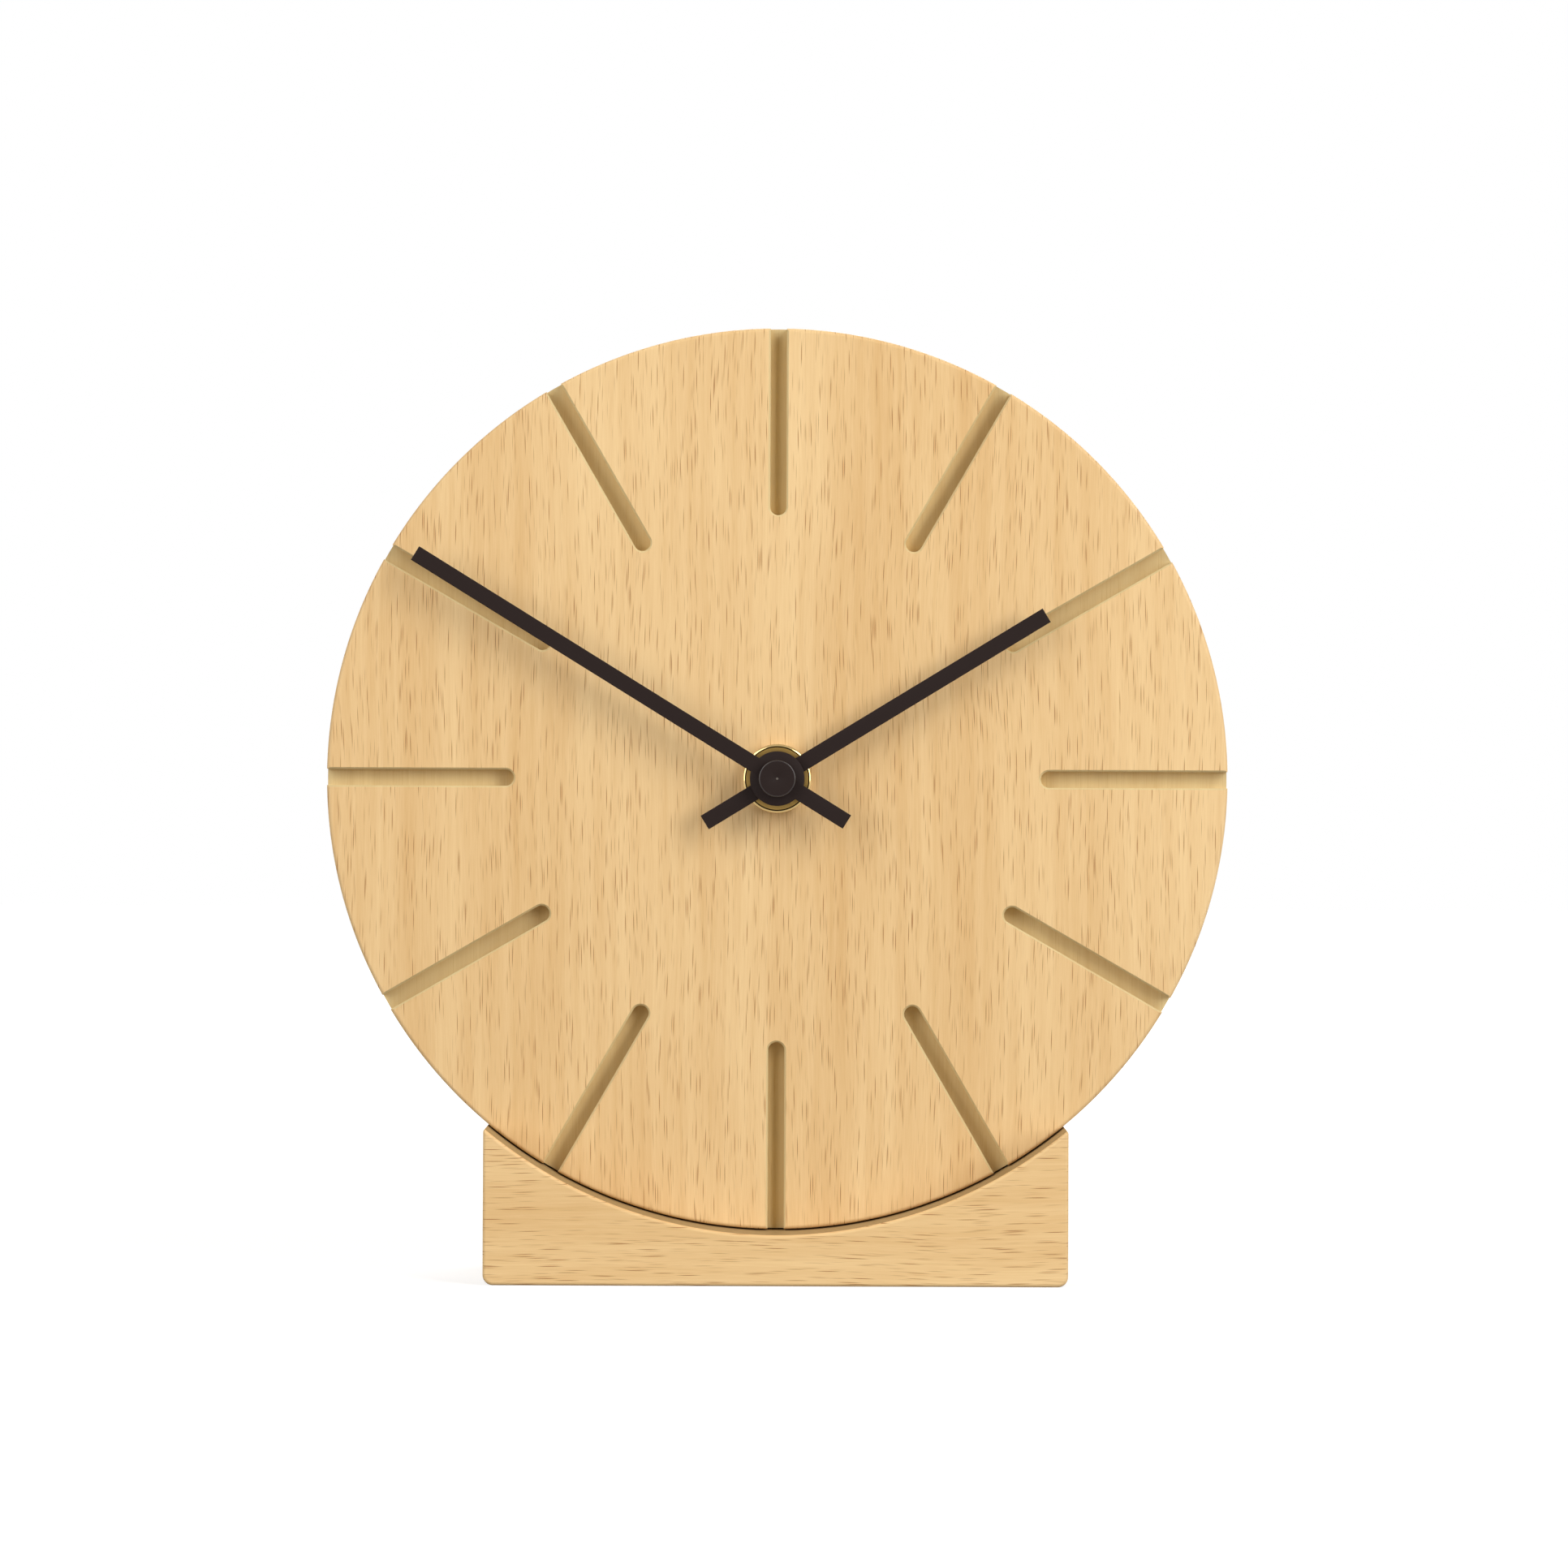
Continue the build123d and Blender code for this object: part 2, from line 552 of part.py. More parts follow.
def movement_back_cover():
    """Cover over the wheels, snapped into the case; the battery bay below it stays open."""
    side = CASE_INSIDE - LOOSE_FIT
    top = CASE_TOP - CASE_WALL - LOOSE_FIT
    body = block(-side, side, PARTITION_LOW, top, COVER_Y, CASE_BACK_Y)
    corners = body.edges().filter_by(Axis.Y).group_by(Axis.Z)[-1]
    body = fillet(corners, CASE_CORNER - CASE_WALL)
    for nose in snaps(0):
        body += nose
    boss_front = STATOR_BACK_Y + MAGNET_STANDOFF + MAGNET_THICKNESS
    body += round_bar(ROTOR_AT, POST_DIAMETER / 2, boss_front, COVER_Y)
    body -= pivot_hole(ROTOR_AT, boss_front, boss_front + PIVOT_LENGTH + END_PLAY)
    return body - round_bar(KNOB_AT, KNOB_SHAFT_DIAMETER / 2 + RUNNING_FIT, COVER_Y, CASE_BACK_Y)


def circuit_board():
    """Printed board on the bridge's bosses."""
    return block(BOARD_LEFT, BOARD_RIGHT, HUB_Z - BOARD_DOWN, HUB_Z + BOARD_UP, BOARD_Y, BOARD_BACK_Y)


def clock_chip():
    """Domed drop of black resin over the bare chip."""
    at = ((BOARD_LEFT + BOARD_RIGHT) / 2, HUB_Z + (BOARD_UP - BOARD_DOWN) / 2)
    drop = round_bar(at, CHIP_DIAMETER / 2, BOARD_BACK_Y, BOARD_BACK_Y + CHIP_HEIGHT)
    return fillet(drop.edges().group_by(Axis.Y)[-1], CHIP_HEIGHT / 2)


def quartz_crystal():
    """Small metal can lying on the board, along X."""
    radius = CRYSTAL_DIAMETER / 2
    middle = Plane.YZ.offset((BOARD_LEFT + BOARD_RIGHT) / 2)
    can = middle * Pos(BOARD_BACK_Y + radius, HUB_Z + BOARD_UP - CRYSTAL_DIAMETER) * Circle(radius)
    return extrude(can, amount=CRYSTAL_LENGTH / 2, both=True)


def upright(at_y, radius, low, high):
    """Round bar along Z in the coil's place."""
    return extrude(Plane.XY.offset(low) * Pos(-COIL_LEFT, at_y) * Circle(radius), amount=high - low)


def coil_core():
    """Flat iron core that bridges the stator's two arms, in front of them."""
    left = -COIL_LEFT - CORE_WIDTH / 2
    low = COIL_TAIL - STATOR_ARM
    high = COIL_HEAD + STATOR_ARM
    return block(left, left + CORE_WIDTH, low, high, BRIDGE_BACK_Y - CORE_THICKNESS, BRIDGE_BACK_Y)


def coil_bobbin():
    """Spool on the core, between the stator's arms."""
    middle = BRIDGE_BACK_Y - CORE_THICKNESS / 2
    flange = COIL_FLANGE_DIAMETER / 2
    tube_radius = math.hypot(CORE_WIDTH, CORE_THICKNESS) / 2 + COIL_TUBE_WALL
    body = upright(middle, tube_radius, COIL_TAIL, COIL_HEAD)
    body += upright(middle, flange, COIL_TAIL, COIL_TAIL + COIL_FLANGE_THICKNESS)
    body += upright(middle, flange, COIL_HEAD - COIL_FLANGE_THICKNESS, COIL_HEAD)
    half = CORE_WIDTH / 2 + PRESS_FIT
    front = BRIDGE_BACK_Y - CORE_THICKNESS - PRESS_FIT
    way = block(-COIL_LEFT - half, half - COIL_LEFT, COIL_TAIL, COIL_HEAD, front, BRIDGE_BACK_Y + PRESS_FIT)
    return body - way


def coil_winding():
    """Copper winding on the spool."""
    middle = BRIDGE_BACK_Y - CORE_THICKNESS / 2
    low = COIL_TAIL + COIL_FLANGE_THICKNESS
    high = COIL_HEAD - COIL_FLANGE_THICKNESS
    bore = math.hypot(CORE_WIDTH, CORE_THICKNESS) / 2 + COIL_TUBE_WALL + PRESS_FIT
    return upright(middle, COIL_DIAMETER / 2, low, high) - upright(middle, bore, low, high)


def stator():
    """Iron plate round the rotor, with one arm to each end of the coil's core."""
    x, z = ROTOR_AT
    half = STATOR_POLE_SIDE / 2
    hole = MAGNET_DIAMETER / 2 + STATOR_AIR_GAP
    end = -COIL_LEFT - CORE_WIDTH / 2
    layer = (BRIDGE_BACK_Y, STATOR_BACK_Y)
    lower = z - half + STATOR_ARM
    foot = COIL_TAIL - STATOR_ARM
    elbow = STATOR_ARM - STATOR_RETURN
    body = block(x - half, x + half, z - half, z + half, *layer)
    body += block(end, x, z + half - STATOR_ARM, z + half, *layer)
    body += block(-STATOR_RETURN, x, z - half, lower, *layer)
    body += block(-STATOR_RETURN, elbow, foot, lower, *layer)
    body += block(end, elbow, foot, COIL_TAIL, *layer)
    body -= round_bar(ROTOR_AT, hole, *layer)
    slit = (z - STATOR_SLIT / 2, z + STATOR_SLIT / 2)
    body -= block(x - half, x - hole - STATOR_NECK, *slit, *layer)
    return body - block(x + hole + STATOR_NECK, x + half, *slit, *layer)


def battery():
    """Bare AA cell lying along X, its nub to the right seen from the front."""
    start = -CELL_LENGTH / 2
    can = Plane.YZ.offset(start) * Pos(CELL_Y, CELL_Z) * Circle(CELL_DIAMETER / 2)
    body = extrude(can, amount=CELL_LENGTH - CELL_NUB_LENGTH)
    body = fillet(body.edges().filter_by(GeomType.CIRCLE), CELL_EASE)
    nub = Plane.YZ.offset(start) * Pos(CELL_Y, CELL_Z) * Circle(CELL_NUB_DIAMETER / 2)
    return body + extrude(nub, amount=CELL_LENGTH)


def contact(side, reach):
    """Battery contact at one end of the bay: plate, bump towards the cell, tab past the partition, foot."""
    wall = sorted((side * CASE_INSIDE, side * (CASE_INSIDE - CONTACT_THICKNESS)))
    half = CONTACT_WIDTH / 2
    tab_front = COVER_Y - CONTACT_TAB_WIDTH
    body = block(*wall, CELL_Z - half, CELL_Z + half, CELL_Y - half, CELL_Y + half)
    body += block(*wall, CELL_Z, PARTITION_TOP + CONTACT_FOOT, tab_front, COVER_Y)
    tip = CASE_INSIDE - CONTACT_THICKNESS
    bump = Plane.YZ.offset(side * tip) * Pos(CELL_Y, CELL_Z) * Circle(CONTACT_BUMP_DIAMETER / 2)
    return body + extrude(bump, amount=tip - reach - CELL_CLEARANCE, dir=(-side, 0, 0))


def battery_contact_positive():
    """Contact at the cell's nub, with a foot on the circuit board."""
    body = contact(1, CELL_LENGTH / 2)
    low = PARTITION_TOP
    foot = (BOARD_BACK_Y, BOARD_BACK_Y + CONTACT_THICKNESS)
    return body + block(BOARD_RIGHT - CONTACT_FOOT, CASE_INSIDE, low + LOOSE_FIT, low + CONTACT_FOOT, *foot)


def battery_contact_negative():
    """Contact at the cell's flat end, with a strip over the partition to the circuit board."""
    body = contact(-1, CELL_LENGTH / 2)
    low = PARTITION_TOP
    strip = low + LOOSE_FIT + CONTACT_THICKNESS
    tab_front = COVER_Y - CONTACT_TAB_WIDTH
    end = BOARD_LEFT + CONTACT_FOOT
    body += block(-CASE_INSIDE, end, low + LOOSE_FIT, strip, tab_front, COVER_Y)
    foot = (BOARD_BACK_Y, BOARD_BACK_Y + CONTACT_THICKNESS)
    return body + block(BOARD_LEFT, end, low + LOOSE_FIT, low + CONTACT_FOOT, *foot)


def rotor_pinion():
    """Moulded rotor arbor with its pinion, from the case's post to the cover's boss."""
    seat = LAYERS["intermediate"][0] - LAYER_GAP
    back = STATOR_BACK_Y + MAGNET_STANDOFF + MAGNET_THICKNESS
    body = pinion(ROTOR_AT, LEAVES, MODULE_ROTOR, bearing(ROTOR_AT, INTERMEDIATE_AT), "intermediate")
    body += round_bar(ROTOR_AT, ARBOR_DIAMETER / 2, seat + END_PLAY, back - END_PLAY)
    return body + round_bar(ROTOR_AT, PIVOT_DIAMETER / 2, seat - PIVOT_LENGTH, back + PIVOT_LENGTH)


def rotor_magnet():
    """Ring magnet on the rotor's arbor, inside the stator."""
    front = BRIDGE_BACK_Y + MAGNET_STANDOFF
    bore = ARBOR_DIAMETER / 2 + PRESS_FIT
    return tube(ROTOR_AT, MAGNET_DIAMETER / 2, bore, front, front + MAGNET_THICKNESS)


def intermediate_wheel():
    """Wheel between the rotor and the seconds wheel."""
    body = wheel(INTERMEDIATE_AT, INTERMEDIATE_TEETH, MODULE_ROTOR, ROTOR_AT, "intermediate")
    body += pinion(INTERMEDIATE_AT, LEAVES, MODULE_SECONDS, bearing(INTERMEDIATE_AT, SHAFT), "seconds")
    return body + arbor(INTERMEDIATE_AT)


def seconds_wheel():
    """Wheel at the centre that turns once a minute; its arbor runs inside the minute arbor."""
    body = wheel(SHAFT, SECONDS_TEETH, MODULE_SECONDS, INTERMEDIATE_AT, "seconds")
    body += pinion(SHAFT, LEAVES, MODULE_THIRD, bearing(SHAFT, THIRD_AT), "third")
    body += round_bar(SHAFT, SECONDS_ARBOR_DIAMETER / 2, MINUTE_HUB_FRONT_Y, BRIDGE_Y - END_PLAY)
    return body + round_bar(SHAFT, PIVOT_DIAMETER / 2, BRIDGE_Y - END_PLAY, BRIDGE_Y + PIVOT_LENGTH)


def third_wheel():
    """Wheel between the seconds wheel and the centre wheel."""
    body = wheel(THIRD_AT, THIRD_TEETH, MODULE_THIRD, SHAFT, "third")
    body += pinion(THIRD_AT, LEAVES, MODULE_CENTER, bearing(THIRD_AT, SHAFT), "center")
    return body + arbor(THIRD_AT)


def center_wheel():
    """Wheel that turns once an hour, on a friction seat at the back of the minute arbor."""
    body = wheel(SHAFT, CENTER_TEETH, MODULE_CENTER, THIRD_AT, "center")
    bore = CLUTCH_DIAMETER / 2 + RUNNING_FIT
    return body - round_bar(SHAFT, bore, *LAYERS["center"])


def minute_arbor():
    """Tube that carries the minute hand, with the cannon pinion and the clutch seat at its back."""
    minute_front, minute_back = LAYERS["minute"]
    body = round_bar(SHAFT, CANNON_RADIUS, MINUTE_HUB_FRONT_Y - CAP_WALL, minute_back)
    body += pinion(SHAFT, CANNON_TEETH, MODULE_CANNON, bearing(SHAFT, MINUTE_WHEEL_AT), "minute")
    body += round_bar(SHAFT, CLUTCH_DIAMETER / 2, minute_front, LAYERS["center"][1] + END_PLAY)
    return body - round_bar(SHAFT, CANNON_BORE, MINUTE_HUB_FRONT_Y - CAP_WALL, LAYERS["center"][1] + END_PLAY)


def minute_hand():
    """Long bar hand, pressed on the minute arbor."""
    bore = CANNON_RADIUS + PRESS_FIT
    return hand(MINUTE_HAND_ANGLE, MINUTE_HAND_LENGTH, MINUTE_HAND_TAIL, MINUTE_HUB_BACK_Y, bore)


def hand_cap():
    """Round cap over the minute arbor's end, with a small dimple."""
    body = round_bar(SHAFT, CAP_DIAMETER / 2, CAP_FRONT_Y, MINUTE_HUB_FRONT_Y)
    body = fillet(body.edges().group_by(Axis.Y)[0], CAP_ROUND)
    body -= round_bar(SHAFT, CANNON_RADIUS + PRESS_FIT, MINUTE_HUB_FRONT_Y - CAP_WALL, MINUTE_HUB_FRONT_Y)
    return body - round_bar(SHAFT, CAP_DIMPLE_DIAMETER / 2, CAP_FRONT_Y, CAP_FRONT_Y + CAP_DIMPLE_DEPTH)


def hour_wheel():
    """Wheel with the pipe that carries the hour hand, running inside the bushing."""
    body = wheel(SHAFT, HOUR_WHEEL_TEETH, MODULE_HOUR, MINUTE_WHEEL_AT, "hour")
    back = LAYERS["hour"][1]
    body += round_bar(SHAFT, HOUR_PIPE_RADIUS, HOUR_HUB_FRONT_Y, back)
    return body - round_bar(SHAFT, HOUR_PIPE_BORE, HOUR_HUB_FRONT_Y, back)


def hour_hand():
    """Short bar hand, pressed on the hour pipe."""
    bore = HOUR_PIPE_RADIUS + PRESS_FIT
    return hand(HOUR_HAND_ANGLE, HOUR_HAND_LENGTH, HOUR_HAND_TAIL, HOUR_HUB_BACK_Y, bore)


def minute_wheel():
    """Wheel beside the shaft that steps the minute arbor down to the hour wheel."""
    body = wheel(MINUTE_WHEEL_AT, MINUTE_WHEEL_TEETH, MODULE_CANNON, SHAFT, "minute")
    body += pinion(MINUTE_WHEEL_AT, MINUTE_PINION_TEETH, MODULE_HOUR, bearing(MINUTE_WHEEL_AT, SHAFT), "hour")
    return body + arbor(MINUTE_WHEEL_AT)


def setting_knob():
    """Ribbed knob behind the cover, with a pinion that turns the minute wheel."""
    pitch = 360 / MINUTE_WHEEL_TEETH
    to_knob = bearing(MINUTE_WHEEL_AT, KNOB_AT)
    turn = to_knob - bearing(MINUTE_WHEEL_AT, SHAFT)
    offset = turn - round(turn / pitch) * pitch
    facing = to_knob + 180 + offset * MINUTE_WHEEL_TEETH / KNOB_TEETH
    body = pinion(KNOB_AT, KNOB_TEETH, MODULE_CANNON, facing, "minute")
    head = CASE_BACK_Y + KNOB_STANDOFF
    body += round_bar(KNOB_AT, PIVOT_DIAMETER / 2, PLATE_Y - PIVOT_LENGTH, BRIDGE_Y)
    body += round_bar(KNOB_AT, KNOB_SHAFT_DIAMETER / 2, LAYERS["minute"][1] + PINION_SPARE, head)
    radius = KNOB_DIAMETER / 2
    grip = Circle(radius)
    for rib in range(KNOB_RIBS):
        grip -= Pos(*polar((0, 0), radius, rib * 360 / KNOB_RIBS)) * Circle(KNOB_RIB_DEPTH)
    return body + bar(Pos(*KNOB_AT) * grip, head, head + KNOB_THICKNESS)


PIECES = [
    dial_disc,
    base_block,
    base_screws,
    center_nut,
    threaded_bushing,
    sealing_washer,
    movement_front_case,
    gear_bridge,
    movement_back_cover,
    circuit_board,
    clock_chip,
    quartz_crystal,
    coil_core,
    coil_bobbin,
    coil_winding,
    stator,
    battery,
    battery_contact_positive,
    battery_contact_negative,
    rotor_pinion,
    rotor_magnet,
    intermediate_wheel,
    seconds_wheel,
    third_wheel,
    center_wheel,
    minute_arbor,
    minute_hand,
    hand_cap,
    hour_wheel,
    hour_hand,
    minute_wheel,
    setting_knob,
]

os.makedirs("parts", exist_ok=True)
for piece in PIECES:
    export_step(piece(), os.path.join("parts", piece.__name__ + ".step"))
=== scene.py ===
"""Looks of a wooden desk clock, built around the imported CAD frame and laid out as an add-on."""

import json
import math

import bmesh
import bpy
from bpy.props import FloatProperty, FloatVectorProperty, IntProperty, PointerProperty
from bpy.types import Operator, Panel, PropertyGroup
from mathutils import Matrix, Vector


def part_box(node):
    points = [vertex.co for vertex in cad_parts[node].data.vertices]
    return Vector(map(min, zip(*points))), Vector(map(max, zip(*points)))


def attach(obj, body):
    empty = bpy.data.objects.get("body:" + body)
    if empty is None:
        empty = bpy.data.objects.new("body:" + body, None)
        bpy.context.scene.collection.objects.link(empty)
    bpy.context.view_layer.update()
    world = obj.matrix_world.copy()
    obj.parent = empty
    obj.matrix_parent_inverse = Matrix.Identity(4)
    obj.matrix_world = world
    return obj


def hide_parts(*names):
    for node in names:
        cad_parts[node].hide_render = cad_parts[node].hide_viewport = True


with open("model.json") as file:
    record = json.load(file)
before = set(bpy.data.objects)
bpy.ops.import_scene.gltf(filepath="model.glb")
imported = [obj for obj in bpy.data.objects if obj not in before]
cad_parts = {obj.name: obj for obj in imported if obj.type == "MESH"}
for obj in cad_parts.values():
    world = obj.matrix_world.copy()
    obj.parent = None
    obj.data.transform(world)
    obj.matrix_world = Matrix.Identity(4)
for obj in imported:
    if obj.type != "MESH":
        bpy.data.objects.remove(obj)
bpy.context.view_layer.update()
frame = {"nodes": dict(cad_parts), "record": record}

bl_info = {
    "name": "Wooden Desk Clock",
    "version": (1, 0, 0),
    "blender": (4, 5, 0),
    "location": "3D View > Sidebar > Desk Clock",
    "description": "Beech desk clock with milled hour slots, a brass nut and black bar hands",
    "category": "Object",
}

MM = 0.001
# Points nearer than this count as one
SLIVER = 1e-7
NODES = frame["nodes"]

# Places taken from the frame, in metres
DISC_LOW, DISC_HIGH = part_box("dial_disc")
BASE_LOW, BASE_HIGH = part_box("base_block")
NUT_LOW, NUT_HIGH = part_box("center_nut")
CAP_LOW, CAP_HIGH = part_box("hand_cap")
COVER_LOW, COVER_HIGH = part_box("movement_back_cover")
CASE_LOW, CASE_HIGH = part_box("movement_front_case")
KNOB_LOW, KNOB_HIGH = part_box("setting_knob")
CELL_LOW, CELL_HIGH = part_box("battery")
DISC_RADIUS = (DISC_HIGH.x - DISC_LOW.x) / 2
HUB = Vector((0, 0, (DISC_LOW.z + DISC_HIGH.z) / 2))
ABOUT_Y = Matrix.Translation(HUB) @ Matrix.Rotation(-math.pi / 2, 4, "X")


def paint(code):
    """Linear colour of an sRGB hex value, opaque."""
    shares = [int(code[at:at + 2], 16) / 255 for at in (1, 3, 5)]
    return (*[c / 12.92 if c <= 0.04045 else ((c + 0.055) / 1.055) ** 2.4 for c in shares], 1.0)


def add(tree, kind, inputs=None, **settings):
    """Adds a node with its settings, and sets or links its inputs."""
    node = tree.nodes.new(kind)
    for key, value in settings.items():
        setattr(node, key, value)
    for key, value in (inputs or {}).items():
        if isinstance(value, bpy.types.NodeSocket):
            tree.links.new(value, node.inputs[key])
        else:
            node.inputs[key].default_value = value
    return node


# Meshes

def arc(centre, radius, start, end, steps):
    """Points of an arc in a plane, angles in degrees."""
    turn = (end - start) / steps
    angles = [math.radians(start + turn * step) for step in range(steps + 1)]
    return [(centre[0] + radius * math.cos(a), centre[1] + radius * math.sin(a)) for a in angles]


def rounded_box(left, right, low, high, radii, steps):
    """Outline of a rectangle with its four corner radii: low left, low right, high right, high left."""
    corners = ((left, low, 1, 1, 180), (right, low, -1, 1, 270), (right, high, -1, -1, 0), (left, high, 1, -1, 90))
    points = []
    for (x, z, across, up, start), radius in zip(corners, radii):
        points += arc((x + across * radius, z + up * radius), radius, start, start + 90, steps)
    return points


def clean_mesh(shape, name):
    """Plain mesh from a bmesh, merged and facing outwards."""
    bmesh.ops.remove_doubles(shape, verts=shape.verts, dist=SLIVER)
    bmesh.ops.recalc_face_normals(shape, faces=shape.faces)
    mesh = bpy.data.meshes.new(name)
    shape.to_mesh(mesh)
    shape.free()
    return mesh


def lathe(name, profile, place, segments, closed=False, finishes=None):
    """Turned mesh: the profile's (radius, height) points spun about the place's own Z."""
    shape = bmesh.new()
    turns = [2 * math.pi * index / segments for index in range(segments)]
    rings = []
    for radius, height in profile:
        if radius < SLIVER:
            rings.append([shape.verts.new((0, 0, height))])
        else:
            rings.append([shape.verts.new((radius * math.cos(t), radius * math.sin(t), height)) for t in turns])
    pairs = list(zip(rings, rings[1:]))
    if closed:
        pairs.append((rings[-1], rings[0]))
    for order, (low, high) in enumerate(pairs):
        for index in range(segments):
            after = (index + 1) % segments
            corners = [low[index % len(low)], low[after % len(low)], high[after % len(high)], high[index % len(high)]]
            corners = list(dict.fromkeys(corners))
            if len(corners) > 2:
                face = shape.faces.new(corners)
                face.material_index = finishes[order] if finishes else 0
    bmesh.ops.transform(shape, matrix=place, verts=shape.verts)
    return clean_mesh(shape, name)


def loft(name, rings, place=Matrix.Identity(4)):
    """Closed mesh through a row of rings with the same number of points, capped at both ends."""
    shape = bmesh.new()
    rows = [[shape.verts.new(point) for point in ring] for ring in rings]
    count = len(rows[0])
    for low, high in zip(rows, rows[1:]):
        for index in range(count):
            after = (index + 1) % count
            shape.faces.new([low[index], low[after], high[after], high[index]])
    shape.faces.new(rows[0])
    shape.faces.new(rows[-1])
    bmesh.ops.transform(shape, matrix=place, verts=shape.verts)
    return clean_mesh(shape, name)


def shade(mesh, sharp=30.0, flat=3.0):
    """Smooth shading with hard edges; a flat face larger than so many mm2 keeps its own normal to its edge."""
    shape = bmesh.new()
    shape.from_mesh(mesh)
    for face in shape.faces:
        face.smooth = True
    for edge in shape.edges:
        if len(edge.link_faces) != 2:
            continue
        turn = math.degrees(edge.calc_face_angle(0))
        largest = max(face.calc_area() for face in edge.link_faces) / MM ** 2
        edge.smooth = turn < sharp and not (turn > 2 and largest > flat)
    shape.to_mesh(mesh)
    shape.free()
    return mesh


def settle(piece):
    """Turns a piece's modifiers into a plain mesh, without the slivers that a cut can leave."""
    bpy.context.view_layer.update()
    done = piece.evaluated_get(bpy.context.evaluated_depsgraph_get())
    mesh = bpy.data.meshes.new_from_object(done)
    piece.modifiers.clear()
    piece.data = mesh
    shape = bmesh.new()
    shape.from_mesh(mesh)
    bmesh.ops.remove_doubles(shape, verts=shape.verts, dist=SLIVER)
    bmesh.ops.dissolve_degenerate(shape, edges=shape.edges, dist=SLIVER)
    shape.to_mesh(mesh)
    shape.free()


def draft(name, mesh):
    """New object for a mesh."""
    piece = bpy.data.objects.new(name, mesh)
    bpy.context.scene.collection.objects.link(piece)
    return piece


def cut(piece, mesh, operation="DIFFERENCE"):
    """Cuts a mesh from a piece, or joins it on, and leaves a plain mesh."""
    tool = draft("tool", mesh)
    step = piece.modifiers.new("cut", "BOOLEAN")
    step.operation = operation
    step.solver = "EXACT"
    step.object = tool
    settle(piece)
    bpy.data.objects.remove(tool)


def hand_over(piece, body, nodes, materials):
    """Gives a piece its finish, sets it on its body and hides the CAD nodes it stands for."""
    held = piece.data.materials
    for index, material in enumerate(materials):
        if index < len(held):
            held[index] = material
        else:
            held.append(material)
    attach(piece, body)
    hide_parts(*nodes)


def merged_copy(node, name):
    """A CAD node's shape as a merged mesh with flat faces joined."""
    shape = bmesh.new()
    shape.from_mesh(NODES[node].data)
    bmesh.ops.remove_doubles(shape, verts=shape.verts, dist=10 * SLIVER)
    bmesh.ops.dissolve_limit(shape, angle_limit=math.radians(0.5), verts=shape.verts, edges=shape.edges)
    mesh = bpy.data.meshes.new(name)
    shape.to_mesh(mesh)
    shape.free()
    return mesh


# Materials

def new_material(name):
    """Empty node material, its tree and its shader."""
    material = bpy.data.materials.new(name)
    material.use_nodes = True
    tree = material.node_tree
    return material, tree, tree.nodes["Principled BSDF"]


def cells(*sizes):
    """Pattern cells a metre along each axis, from their sizes in millimetres."""
    return tuple(1 / (size * MM) for size in sizes)


